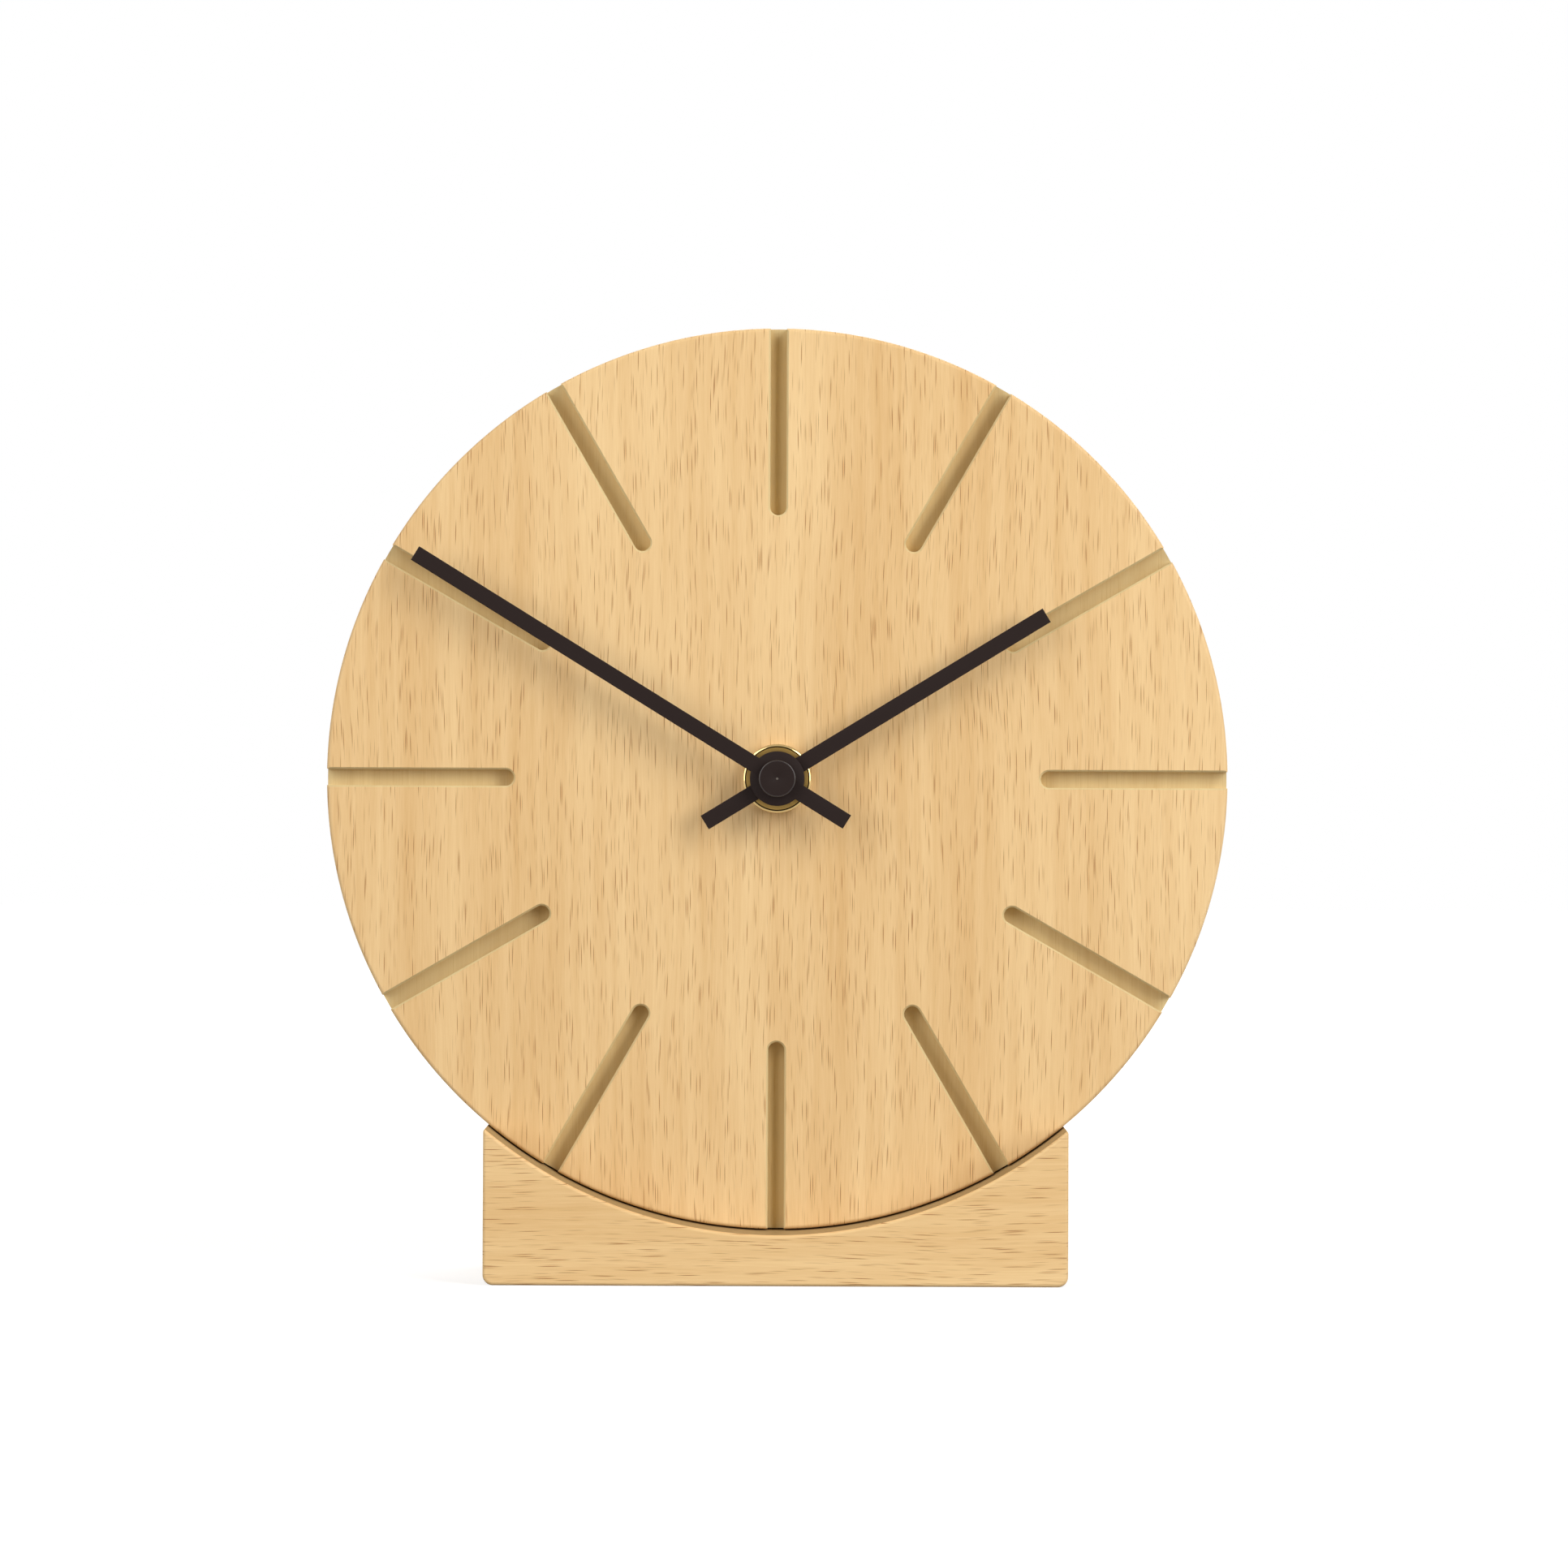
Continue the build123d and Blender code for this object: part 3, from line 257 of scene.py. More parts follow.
def beech(name, colours, turn, shift, pith):
    """Beech, planed, sanded and oiled: a pale warm ground with faint growth rings, hair-fine fibre lines, and
    short brown ray flecks that lie along the grain."""
    material, tree, shader = new_material(name)
    place = add(tree, "ShaderNodeTexCoord").outputs["Object"]
    mapped = {"Vector": place, "Rotation": turn, "Location": shift}
    along = add(tree, "ShaderNodeMapping", mapped).outputs[0]
    # The grain wanders a little from straight
    coarse = add(tree, "ShaderNodeVectorMath", {0: along, 1: cells(26, 40, 48)}, operation="MULTIPLY").outputs[0]
    wander = add(tree, "ShaderNodeTexNoise", {"Vector": coarse, "Scale": 1.0, "Detail": 1.0}).outputs["Color"]
    centred = add(tree, "ShaderNodeVectorMath", {0: wander, 1: (0.5, 0.5, 0.5)}, operation="SUBTRACT").outputs[0]
    sway = {0: centred, 1: (2.6 * MM, 2.6 * MM, 0), 2: along}
    grain = add(tree, "ShaderNodeVectorMath", sway, operation="MULTIPLY_ADD").outputs[0]
    # Growth rings 3.4 mm apart, round a pith that leans from the board
    leaning = {"Vector": grain, "Location": pith, "Rotation": (math.radians(4), math.radians(1.5), 0)}
    trunk = add(tree, "ShaderNodeMapping", leaning).outputs[0]
    turns = [2 * math.pi * count for count in cells(3.4, 3.4, 1e9)]
    across = add(tree, "ShaderNodeVectorMath", {0: trunk, 1: turns}, operation="MULTIPLY").outputs[0]
    years = add(tree, "ShaderNodeVectorMath", {0: across}, operation="LENGTH").outputs["Value"]
    season = add(tree, "ShaderNodeMath", {0: years}, operation="SINE").outputs[0]
    tone = add(tree, "ShaderNodeMath", {0: season, 1: 0.012}, operation="MULTIPLY").outputs[0]
    # Broad bands, growth lines and two sizes of fibre, each with its share of the tone
    shares = (((14, 26, 190), 0.3), ((1.5, 5, 90), 0.2), ((0.32, 0.8, 15), 0.13), ((0.14, 0.4, 4.5), 0.13))
    for sizes, part in shares:
        spaced = add(tree, "ShaderNodeVectorMath", {0: grain, 1: cells(*sizes)}, operation="MULTIPLY").outputs[0]
        fibre = add(tree, "ShaderNodeTexNoise", {"Vector": spaced, "Scale": 1.0, "Detail": 2.0}).outputs[0]
        tone = add(tree, "ShaderNodeMath", {0: fibre, 1: part, 2: tone}, operation="MULTIPLY_ADD").outputs[0]
    share = add(tree, "ShaderNodeMapRange", {"Value": tone, "From Min": 0.25, "From Max": 0.51}).outputs[0]
    blend = {0: share, 6: colours["light"], 7: colours["dark"]}
    ground = add(tree, "ShaderNodeMix", blend, data_type="RGBA").outputs[2]
    # Ray flecks, strong ones and then faint ones: a long spindle in some of the cells, given by the cells' size,
    # the distances where it is full and where it ends, the least draw that has one, and its depth
    flecks = None
    kinds = (((0.27, 1.5, 9.8), 0.1, 0.31, 0.24, 0.9), ((0.24, 1.3, 8.0), 0.06, 0.31, 0.3, 0.5))
    for sizes, near, far, least, depth in kinds:
        spaced = add(tree, "ShaderNodeVectorMath", {0: grain, 1: cells(*sizes)}, operation="MULTIPLY").outputs[0]
        spots = add(tree, "ShaderNodeTexVoronoi", {"Vector": spaced, "Scale": 1.0}).outputs
        spread = {"Value": spots["Distance"], "From Min": far, "From Max": near}
        spindle = add(tree, "ShaderNodeMapRange", spread, interpolation_type="SMOOTHSTEP").outputs[0]
        odds = add(tree, "ShaderNodeSeparateColor", {"Color": spots["Color"]}).outputs["Red"]
        chance = {"Value": odds, "From Min": least, "From Max": least + 0.2, "To Max": depth}
        pick = add(tree, "ShaderNodeMapRange", chance).outputs[0]
        layer = add(tree, "ShaderNodeMath", {0: spindle, 1: pick}, operation="MULTIPLY").outputs[0]
        if flecks:
            layer = add(tree, "ShaderNodeMath", {0: flecks, 1: layer}, operation="MAXIMUM").outputs[0]
        flecks = layer
    marked = {0: flecks, 6: ground, 7: colours["fleck"]}
    wood = add(tree, "ShaderNodeMix", marked, data_type="RGBA").outputs[2]
    tree.links.new(wood, shader.inputs["Base Color"])
    rough = add(tree, "ShaderNodeMapRange", {"Value": fibre, "To Min": 0.46, "To Max": 0.60}).outputs[0]
    tree.links.new(rough, shader.inputs["Roughness"])
    shader.inputs["IOR"].default_value = 1.45
    shader.inputs["Specular IOR Level"].default_value = 0.35
    height = add(tree, "ShaderNodeMath", {0: fibre, 1: flecks}, operation="SUBTRACT").outputs[0]
    bump = add(tree, "ShaderNodeBump", {"Height": height, "Strength": 0.1, "Distance": 0.03 * MM}).outputs[0]
    tree.links.new(bump, shader.inputs["Normal"])
    return material


def surface(name, colour, rough, metal=0.0, grit=0.4, mottle=0.06, relief=0.01, stretch=(1, 1, 1), level=0.5):
    """A made surface of one material: its colour and gloss vary a little at the grit's size, in millimetres."""
    material, tree, shader = new_material(name)
    place = add(tree, "ShaderNodeTexCoord").outputs["Object"]
    sizes = [grit * share for share in stretch]
    spaced = add(tree, "ShaderNodeVectorMath", {0: place, 1: cells(*sizes)}, operation="MULTIPLY").outputs[0]
    grains = add(tree, "ShaderNodeTexNoise", {"Vector": spaced, "Scale": 1.0, "Detail": 3.0}).outputs[0]
    low = (*[c * (1 - mottle) for c in colour[:3]], 1.0)
    high = (*[min(1.0, c * (1 + mottle)) for c in colour[:3]], 1.0)
    tones = add(tree, "ShaderNodeMix", {0: grains, 6: low, 7: high}, data_type="RGBA").outputs[2]
    tree.links.new(tones, shader.inputs["Base Color"])
    gloss = {"Value": grains, "To Min": rough * 0.85, "To Max": min(1.0, rough * 1.15)}
    tree.links.new(add(tree, "ShaderNodeMapRange", gloss).outputs[0], shader.inputs["Roughness"])
    shader.inputs["Metallic"].default_value = metal
    if not metal:
        shader.inputs["Specular IOR Level"].default_value = level
    bump = add(tree, "ShaderNodeBump", {"Height": grains, "Strength": 0.3, "Distance": relief * MM}).outputs[0]
    tree.links.new(bump, shader.inputs["Normal"])
    return material


# Settings

def length(name, description, size):
    """Length property, its default in millimetres."""
    return FloatProperty(name=name, description=description, default=size * MM, unit="LENGTH", precision=5)


def angle(name, description, degrees):
    """Angle property, its default in degrees."""
    return FloatProperty(name=name, description=description, default=math.radians(degrees), subtype="ANGLE")


def power(name, description, watts):
    """Power property, its default in watts."""
    return FloatProperty(name=name, description=description, default=watts, unit="POWER")


def tint(name, description, code):
    """Colour property, its default an sRGB hex value."""
    return FloatVectorProperty(name=name, description=description, default=paint(code),
                               size=4, min=0, max=1, subtype="COLOR")


class DiscSettings(PropertyGroup):
    """Beech disc, its pocket and its hour slots."""

    ease: length("Ease", "Rounding of the disc's edges", 0.7)
    bore: length("Bore", "Hole for the movement's bushing", 8.1)
    pocket_room: length("Pocket Room", "Room round the movement's case", 1.0)
    pocket_corner: length("Pocket Corner", "Radius of the pocket's corners", 4.0)
    washer_room: length("Washer Room", "Room for the washer in front of the case", 0.8)
    slot_count: IntProperty(name="Slots", description="Number of hour slots", default=12, min=1)
    slot_width: length("Slot Width", "Width of a slot", 2.9)
    slot_depth: length("Slot Depth", "Depth of a slot", 3.0)
    slot_inner: length("Slot Start", "Radius where a slot starts", 46.8)
    slot_ease: length("Slot Ease", "Bevel along a slot's edges", 0.3)
    light: tint("Light Wood", "Light tone of the wood", "#FBD8A0")
    dark: tint("Dark Wood", "Dark tone of the wood", "#E3B77B")
    fleck: tint("Flecks", "Colour of the ray flecks", "#965410")
    # Partly painted shade: the slots' milled tones are darker and greyer for the shade in the narrow slots, besides
    # being unoiled
    milled_and_shade_light: tint("Light Milled Wood, Painted Shade", "Light tone in the slots", "#E8D19C")
    milled_and_shade_dark: tint("Dark Milled Wood, Painted Shade", "Dark tone in the slots", "#D7BA83")


class BaseSettings(PropertyGroup):
    """Beech cradle block and its screw holes."""

    corner: length("Corner", "Radius of the lower corners", 1.8)
    ease: length("Ease", "Rounding of the front and back edges", 0.6)
    horn: length("Horn Ease", "Rounding of the horns", 0.7)
    land: length("Horn Land", "Width of a horn's flat top", 0.1)
    gap: length("Cradle Gap", "Room between disc and cradle", 0.3)
    hole_aside: length("Hole Aside", "From the middle to a screw hole", 20.0)
    hole_width: length("Hole Width", "Diameter of a screw hole", 4.1)
    hole_length: length("Hole Length", "Length of a screw hole, past the cradle", 20.0)
    head_width: length("Head Width", "Diameter of the countersink", 8.1)
    head_start: length("Head Start", "Height where the countersink narrows", 0.8)
    head_end: length("Head End", "Height where the countersink ends", 3.2)
    # Painted light: these tones are a little lighter than the disc's to make up for less light reaching the base
    light: tint("Light Wood", "Light tone of the wood", "#FEDBA2")
    dark: tint("Dark Wood", "Dark tone of the wood", "#E7BC80")
    fleck: tint("Flecks", "Colour of the ray flecks", "#965410")
    # Painted shade: the cradle's milled tones are dark for the shade in the narrow gap under the disc
    milled_and_shade_light: tint("Light Milled Wood, Painted Shade", "Light tone in the cradle", "#B0966A")
    milled_and_shade_dark: tint("Dark Milled Wood, Painted Shade", "Dark tone in the cradle", "#9E8357")


class HandSettings(PropertyGroup):
    """Bar hands and their cap."""

    width: length("Width", "Width of a hand", 2.8)
    thickness: length("Thickness", "Thickness of a hand", 0.6)
    bevel: length("Bevel", "Bevel round a hand's front", 0.12)
    hub: length("Hub", "Diameter of a hand's hub", 9.65)
    minute_length: length("Minute Length", "Length of the minute hand", 75.3)
    minute_tail: length("Minute Tail", "Tail of the minute hand", 14.5)
    minute_bore: length("Minute Bore", "Hole of the minute hand", 3.34)
    minute_angle: angle("Minute Angle", "Clockwise from twelve", 301.7)
    hour_length: length("Hour Length", "Length of the hour hand", 55.7)
    hour_tail: length("Hour Tail", "Tail of the hour hand", 15.0)
    hour_bore: length("Hour Bore", "Hole of the hour hand", 5.18)
    hour_angle: angle("Hour Angle", "Clockwise from twelve", 58.55)
    cap_rim: length("Cap Rim", "Rounding of the cap's edge", 0.2)
    pip_radius: length("Pip Radius", "Radius of the turning's pip in the cap", 0.2)
    pip_depth: length("Pip Depth", "Depth of the turning's pip in the cap", 0.1)
    lacquer: tint("Lacquer", "Colour of the hands", "#211613")


class BrassSettings(PropertyGroup):
    """Centre nut."""

    bevel: length("Bevel", "Width of the rim's bevel", 0.35)
    drop: length("Drop", "Fall of the rim's bevel", 0.17)
    ease: length("Ease", "Rounding of the bevel's edges", 0.05)
    groove_width: length("Groove Width", "Width of the groove", 0.22)
    groove_depth: length("Groove Depth", "Depth of the groove", 0.3)
    bore: length("Bore", "Diameter of the thread's hole", 7.84)
    # Painted light on one brass: the flat is darkened as mirrored shade, the rim is paler as a painted highlight, and
    # the groove colour is a painted dark line of shade
    brass: tint("Brass", "Colour of the brass", "#927540")
    polished_highlight: tint("Polished Highlight", "Colour of the polished rim", "#BC9E62")
    groove_shade: tint("Groove Shade", "Colour in the groove", "#57431C")


class BackSettings(PropertyGroup):
    """Movement at the back."""

    edge: length("Edge", "Rounding of moulded edges", 0.15)
    mark_height: length("Mark Height", "Height of the marks above the cover", 0.4)
    mark_root: length("Mark Root", "Depth of the marks' roots in the cover", 0.2)
    arrow_radius: length("Arrow Radius", "Radius of the arrows round the knob", 7.2)
    plastic: tint("Plastic", "Colour of the case", "#26272A")
    knob: tint("Knob", "Colour of the knob", "#3B3C40")
    jacket: tint("Jacket", "Colour of the cell", "#3E5A6E")


class StageSettings(PropertyGroup):
    """Floor, lights and camera."""

    distance: length("Distance", "From the camera to the face", 1000.0)
    frame_width: length("Frame Width", "Width of the picture at the face", 278.4)
    aside: length("Aside", "Camera to the right of the hub", 1.2)
    below: length("Below", "Camera below the hub", 0.95)
    roll: angle("Roll", "Turn of the camera about its view", 0.22)
    left: power("Left", "Power of the left soft box", 16.9)
    right: power("Right", "Power of the right soft box", 21.6)
    behind: power("Behind", "Power of the soft box behind", 16.0)
    sky: FloatProperty(name="Sky", description="Strength of the light from all round", default=0.03, min=0)


class ClockSettings(PropertyGroup):
    """All settings of the clock."""

    disc: PointerProperty(type=DiscSettings)
    base: PointerProperty(type=BaseSettings)
    hands: PointerProperty(type=HandSettings)
    brass: PointerProperty(type=BrassSettings)
    back: PointerProperty(type=BackSettings)
    stage: PointerProperty(type=StageSettings)


# Geometry Nodes

def slot_tree():
    """Node tree that mills evenly spaced slots into a blank with a drum, flared at the face and drawn past the rim."""
    tree = bpy.data.node_groups.new("Hour slots", "GeometryNodeTree")
    sockets = (("Geometry", "Geometry"), ("Count", "Int"), ("Radius", "Float"), ("Depth", "Float"),
               ("Ease", "Float"), ("Start", "Vector"), ("Reach", "Vector"), ("Centre", "Vector"),
               ("Planed", "Material"), ("Milled", "Material"))
    for label, kind in sockets:
        tree.interface.new_socket(label, in_out="INPUT", socket_type="NodeSocket" + kind)
    tree.interface.new_socket("Geometry", in_out="OUTPUT", socket_type="NodeSocketGeometry")
    given = add(tree, "NodeGroupInput").outputs
    sides = 64
    # One cutter: half of it below the face, its flare ending at the ease's depth
    tall = add(tree, "ShaderNodeMath", {0: given["Depth"], 1: 2.0}, operation="MULTIPLY").outputs[0]
    barrel = {"Vertices": sides, "Radius": given["Radius"], "Depth": tall}
    drum = add(tree, "GeometryNodeMeshCylinder", barrel).outputs["Mesh"]
    low = add(tree, "ShaderNodeMath", {0: given["Ease"], 1: 2.0}, operation="MULTIPLY").outputs[0]
    wide = add(tree, "ShaderNodeMath", {0: given["Radius"], 1: low}).outputs[0]
    bell = {"Vertices": sides, "Radius Top": given["Radius"], "Radius Bottom": wide, "Depth": low}
    flare = add(tree, "GeometryNodeMeshCone", bell).outputs["Mesh"]
    rise = add(tree, "ShaderNodeVectorMath", {0: (0, 0, -1), "Scale": given["Ease"]}, operation="SCALE").outputs[0]
    flare = add(tree, "GeometryNodeTransform", {"Geometry": flare, "Translation": rise}).outputs[0]
    cutter = add(tree, "GeometryNodeJoinGeometry")
    tree.links.new(drum, cutter.inputs[0])
    tree.links.new(flare, cutter.inputs[0])
    # Half a step's turn leaves equal corners on both sides of the cut where the drum is drawn out
    laid = {"Geometry": cutter.outputs[0], "Rotation": (-math.pi / 2, 0, 0)}
    turned = {"Geometry": add(tree, "GeometryNodeTransform", laid).outputs[0], "Rotation": (0, math.pi / sides, 0)}
    cutter = add(tree, "GeometryNodeTransform", turned).outputs[0]
    where = add(tree, "GeometryNodeInputPosition").outputs[0]
    up = add(tree, "ShaderNodeSeparateXYZ", {0: where}).outputs["Z"]
    outer = add(tree, "FunctionNodeCompare", {0: up, 1: 0.0}, operation="GREATER_THAN").outputs[0]
    drawn = {"Geometry": cutter, "Selection": outer, "Offset": given["Reach"]}
    cutter = add(tree, "GeometryNodeSetPosition", drawn).outputs[0]
    cutter = add(tree, "GeometryNodeTransform", {"Geometry": cutter, "Translation": given["Start"]}).outputs[0]
    # All the cutters, turned about the centre
    spots = add(tree, "GeometryNodePoints", {"Count": given["Count"]}).outputs[0]
    step = add(tree, "ShaderNodeMath", {0: 2 * math.pi, 1: given["Count"]}, operation="DIVIDE").outputs[0]
    index = add(tree, "GeometryNodeInputIndex").outputs[0]
    spread = add(tree, "ShaderNodeMath", {0: index, 1: step}, operation="MULTIPLY").outputs[0]
    euler = add(tree, "ShaderNodeVectorMath", {0: (0, 1, 0), "Scale": spread}, operation="SCALE").outputs[0]
    turn = add(tree, "FunctionNodeEulerToRotation", {0: euler}).outputs[0]
    ring = {"Points": spots, "Instance": cutter, "Rotation": turn}
    row = add(tree, "GeometryNodeInstanceOnPoints", ring).outputs[0]
    row = add(tree, "GeometryNodeTransform", {"Geometry": row, "Translation": given["Centre"]}).outputs[0]
    cutters = add(tree, "GeometryNodeRealizeInstances", {0: row}).outputs[0]
    cutters = add(tree, "GeometryNodeSetMaterial", {"Geometry": cutters, "Material": given["Milled"]}).outputs[0]
    mill = {"Mesh 1": given["Geometry"], "Mesh 2": cutters, "Self Intersection": True}
    milled = add(tree, "GeometryNodeMeshBoolean", mill, operation="DIFFERENCE", solver="EXACT").outputs[0]
    real = add(tree, "GeometryNodeRealizeInstances", {0: milled}).outputs[0]
    # What the cutters did not make keeps the planed finish
    milled_shaded = add(tree, "GeometryNodeMaterialSelection", {"Material": given["Milled"]}).outputs[0]
    planed = add(tree, "FunctionNodeBooleanMath", {0: milled_shaded}, operation="NOT").outputs[0]
    finish = {"Geometry": real, "Selection": planed, "Material": given["Planed"]}
    finished = add(tree, "GeometryNodeSetMaterial", finish).outputs[0]
    add(tree, "NodeGroupOutput", {0: finished})
    return tree


# Operators

def two_woods(sizes, names, lie):
    """Oiled and milled beech of one board: the milled one is darker and greyer, partly as painted shade, and shows no
    flecks.
    """
    oiled = {"light": sizes.light, "dark": sizes.dark, "fleck": sizes.fleck}
    milled = {"light": sizes.milled_and_shade_light, "dark": sizes.milled_and_shade_dark, "fleck": sizes.milled_and_shade_dark}
    return [beech(name, colours, *lie) for name, colours in zip(names, (oiled, milled))]


class MakeDisc(Operator):
    """Turn the beech disc, mill the hour slots and cut its pocket"""

    bl_idname = "desk_clock.make_disc"
    bl_label = "Beech Disc"

    def execute(self, context):
        sizes = context.scene.desk_clock.disc
        lie = ((0, 0, 0), (0.013, 0.021, 0.007), (0.006, -0.095, 0.0))
        wood, milled_shaded = two_woods(sizes, ("beech, oiled, grain upright", "beech, milled, not oiled, painted shade"), lie)
        ease, radius, bore = sizes.ease, DISC_RADIUS, sizes.bore / 2
        front, back = DISC_LOW.y, DISC_HIGH.y
        profile = [(bore, front), (radius - ease, front)]
        profile += arc((radius - ease, front + ease), ease, -90, 0, 8)[1:]
        profile += arc((radius - ease, back - ease), ease, 0, 90, 8)
        profile += [(bore, back)]
        piece = draft("beech_disc", lathe("beech_disc", profile, ABOUT_Y, 720, True))
        piece.data.materials.append(wood)
        tree = slot_tree()
        step = piece.modifiers.new("Hour slots", "NODES")
        step.node_group = tree
        half = sizes.slot_width / 2
        start = sizes.slot_inner + half
        values = {"Count": sizes.slot_count, "Radius": half, "Depth": sizes.slot_depth, "Ease": sizes.slot_ease,
                  "Start": Vector((0, 0, start)), "Reach": Vector((0, 0, radius + 2 * MM - start)),
                  "Centre": Vector((0, front, HUB.z)), "Planed": wood, "Milled": milled_shaded}
        for socket in tree.interface.items_tree:
            if socket.in_out == "INPUT" and socket.name in values:
                step[socket.identifier] = values[socket.name]
        settle(piece)
        room, floor = sizes.pocket_room, CASE_LOW.y - sizes.washer_room
        outline = rounded_box(CASE_LOW.x - room, CASE_HIGH.x + room, CASE_LOW.z - room, CASE_HIGH.z + room,
                              (sizes.pocket_corner,) * 4, 8)
        cut(piece, loft("pocket", [[(x, y, z) for x, z in outline] for y in (floor, back + MM)]))
        shade(piece.data)
        hand_over(piece, "clock", ["dial_disc"], [wood, milled_shaded])
        return {"FINISHED"}


class MakeBase(Operator):
    """Shape the beech block, hollow its cradle and drill its screw holes"""

    bl_idname = "desk_clock.make_base"
    bl_label = "Beech Base"

    def execute(self, context):
        sizes = context.scene.desk_clock.base
        lie = ((0, math.pi / 2, math.radians(2.5)), (0.031, 0.017, 0.043), (0.03, -0.09, 0.0))
        wood, milled_shaded = two_woods(sizes, ("beech, oiled, grain lying", "beech, milled hollow, painted shade"), lie)
        front, back, ease = BASE_LOW.y, BASE_HIGH.y, sizes.ease
        radius = DISC_RADIUS + sizes.gap
        top = HUB.z - math.sqrt(radius ** 2 - (BASE_HIGH.x - sizes.land) ** 2)
        steps = 6
        turns = [math.radians(90 * step / steps) for step in range(steps + 1)]
        rows = [(ease * (1 - math.sin(t)), front + ease * (1 - math.cos(t))) for t in turns]
        rows += [(inset, front + back - y) for inset, y in reversed(rows)]
        rings = []
        for inset, y in rows:
            radii = (sizes.corner - inset, sizes.corner - inset, sizes.horn - inset, sizes.horn - inset)
            outline = rounded_box(BASE_LOW.x + inset, BASE_HIGH.x - inset, inset, top - inset, radii, 8)
            rings.append([(x, y, z) for x, z in outline])
        piece = draft("beech_base", loft("beech_base", rings))
        flare = arc((radius + ease, front + ease), ease, 270, 180, steps)
        profile = [(0, front - 2 * MM), (radius + ease, front - 2 * MM)] + flare
        profile += [(r, front + back - y) for r, y in reversed(flare)]
        profile += [(radius + ease, back + 2 * MM), (0, back + 2 * MM)]
        # Only the hollow between its two eased edges is left as milled, and its dark colour there is painted shade
        eased = [0] * (len(profile) // 2 - 1)
        hollow = lathe("cradle", profile, ABOUT_Y, 1440, False, eased + [1] + eased)
        for mesh in (piece.data, hollow):
            mesh.materials.append(wood)
            mesh.materials.append(milled_shaded)
        cut(piece, hollow)
        head, hole = sizes.head_width / 2, sizes.hole_width / 2
        drill = [(0, -MM), (head, -MM), (head, sizes.head_start), (hole, sizes.head_end), (hole, sizes.hole_length),
                 (0, sizes.hole_length)]
        for side in (-1, 1):
            cut(piece, lathe("screw_hole", drill, Matrix.Translation((side * sizes.hole_aside, 0, 0)), 48))
        shade(piece.data)
        hand_over(piece, "clock", ["base_block"], [wood, milled_shaded])
        return {"FINISHED"}


class MakeNut(Operator):
    """Turn the round brass nut"""

    bl_idname = "desk_clock.make_nut"
    bl_label = "Brass Nut"

    def execute(self, context):
        sizes = context.scene.desk_clock.brass
        # The polished rim glints white, its paler colour a painted highlight; the satin flat is an even olive gold,
        # darkened as painted shade for the dark surroundings it mirrors; the groove is a dark line of painted shade
        polished_highlight = surface("brass, polished and lacquered, painted paler as highlight", sizes.polished_highlight, 0.1, 1.0, 0.5, 0.03, 0.001)
        polished_highlight.node_tree.nodes["Principled BSDF"].inputs["Coat Weight"].default_value = 1.0
        satin_shaded = surface("brass, satin, painted darker as mirrored shade", sizes.brass, 0.34, 1.0, 0.12, 0.08, 0.004)
        groove_shade_brass = surface("brass, groove painted dark as shade", sizes.groove_shade, 0.6, 1.0, 0.1, 0.15, 0.004)
        front, back = NUT_LOW.y, NUT_HIGH.y
        radius, bore, ease = (NUT_HIGH.x - NUT_LOW.x) / 2, sizes.bore / 2, sizes.ease
        shoulder = radius - sizes.bevel
        groove = shoulder - sizes.groove_width
        foot = front + sizes.drop
        fall = sizes.drop * ease / sizes.bevel
        profile = [(radius, back), (radius, foot + ease), (radius - ease / 2, foot + ease / 4)]
        profile += [(radius - ease, foot - fall), (shoulder + ease, front + fall), (shoulder, front)]
        profile += [(shoulder - sizes.groove_width / 2, front + sizes.groove_depth), (groove, front)]
        profile += [(bore + 3 * ease, front), (bore, front + 3 * ease), (bore, back)]
        finishes = [0, 0, 0, 0, 0, 2, 2, 1, 1, 1, 1]
        mesh = lathe("brass_nut", profile, ABOUT_Y, 256, True, finishes)
        piece = draft("brass_nut", shade(mesh, 30, 0.5))
        hand_over(piece, "clock", ["center_nut"], [polished_highlight, satin_shaded, groove_shade_brass])
        return {"FINISHED"}


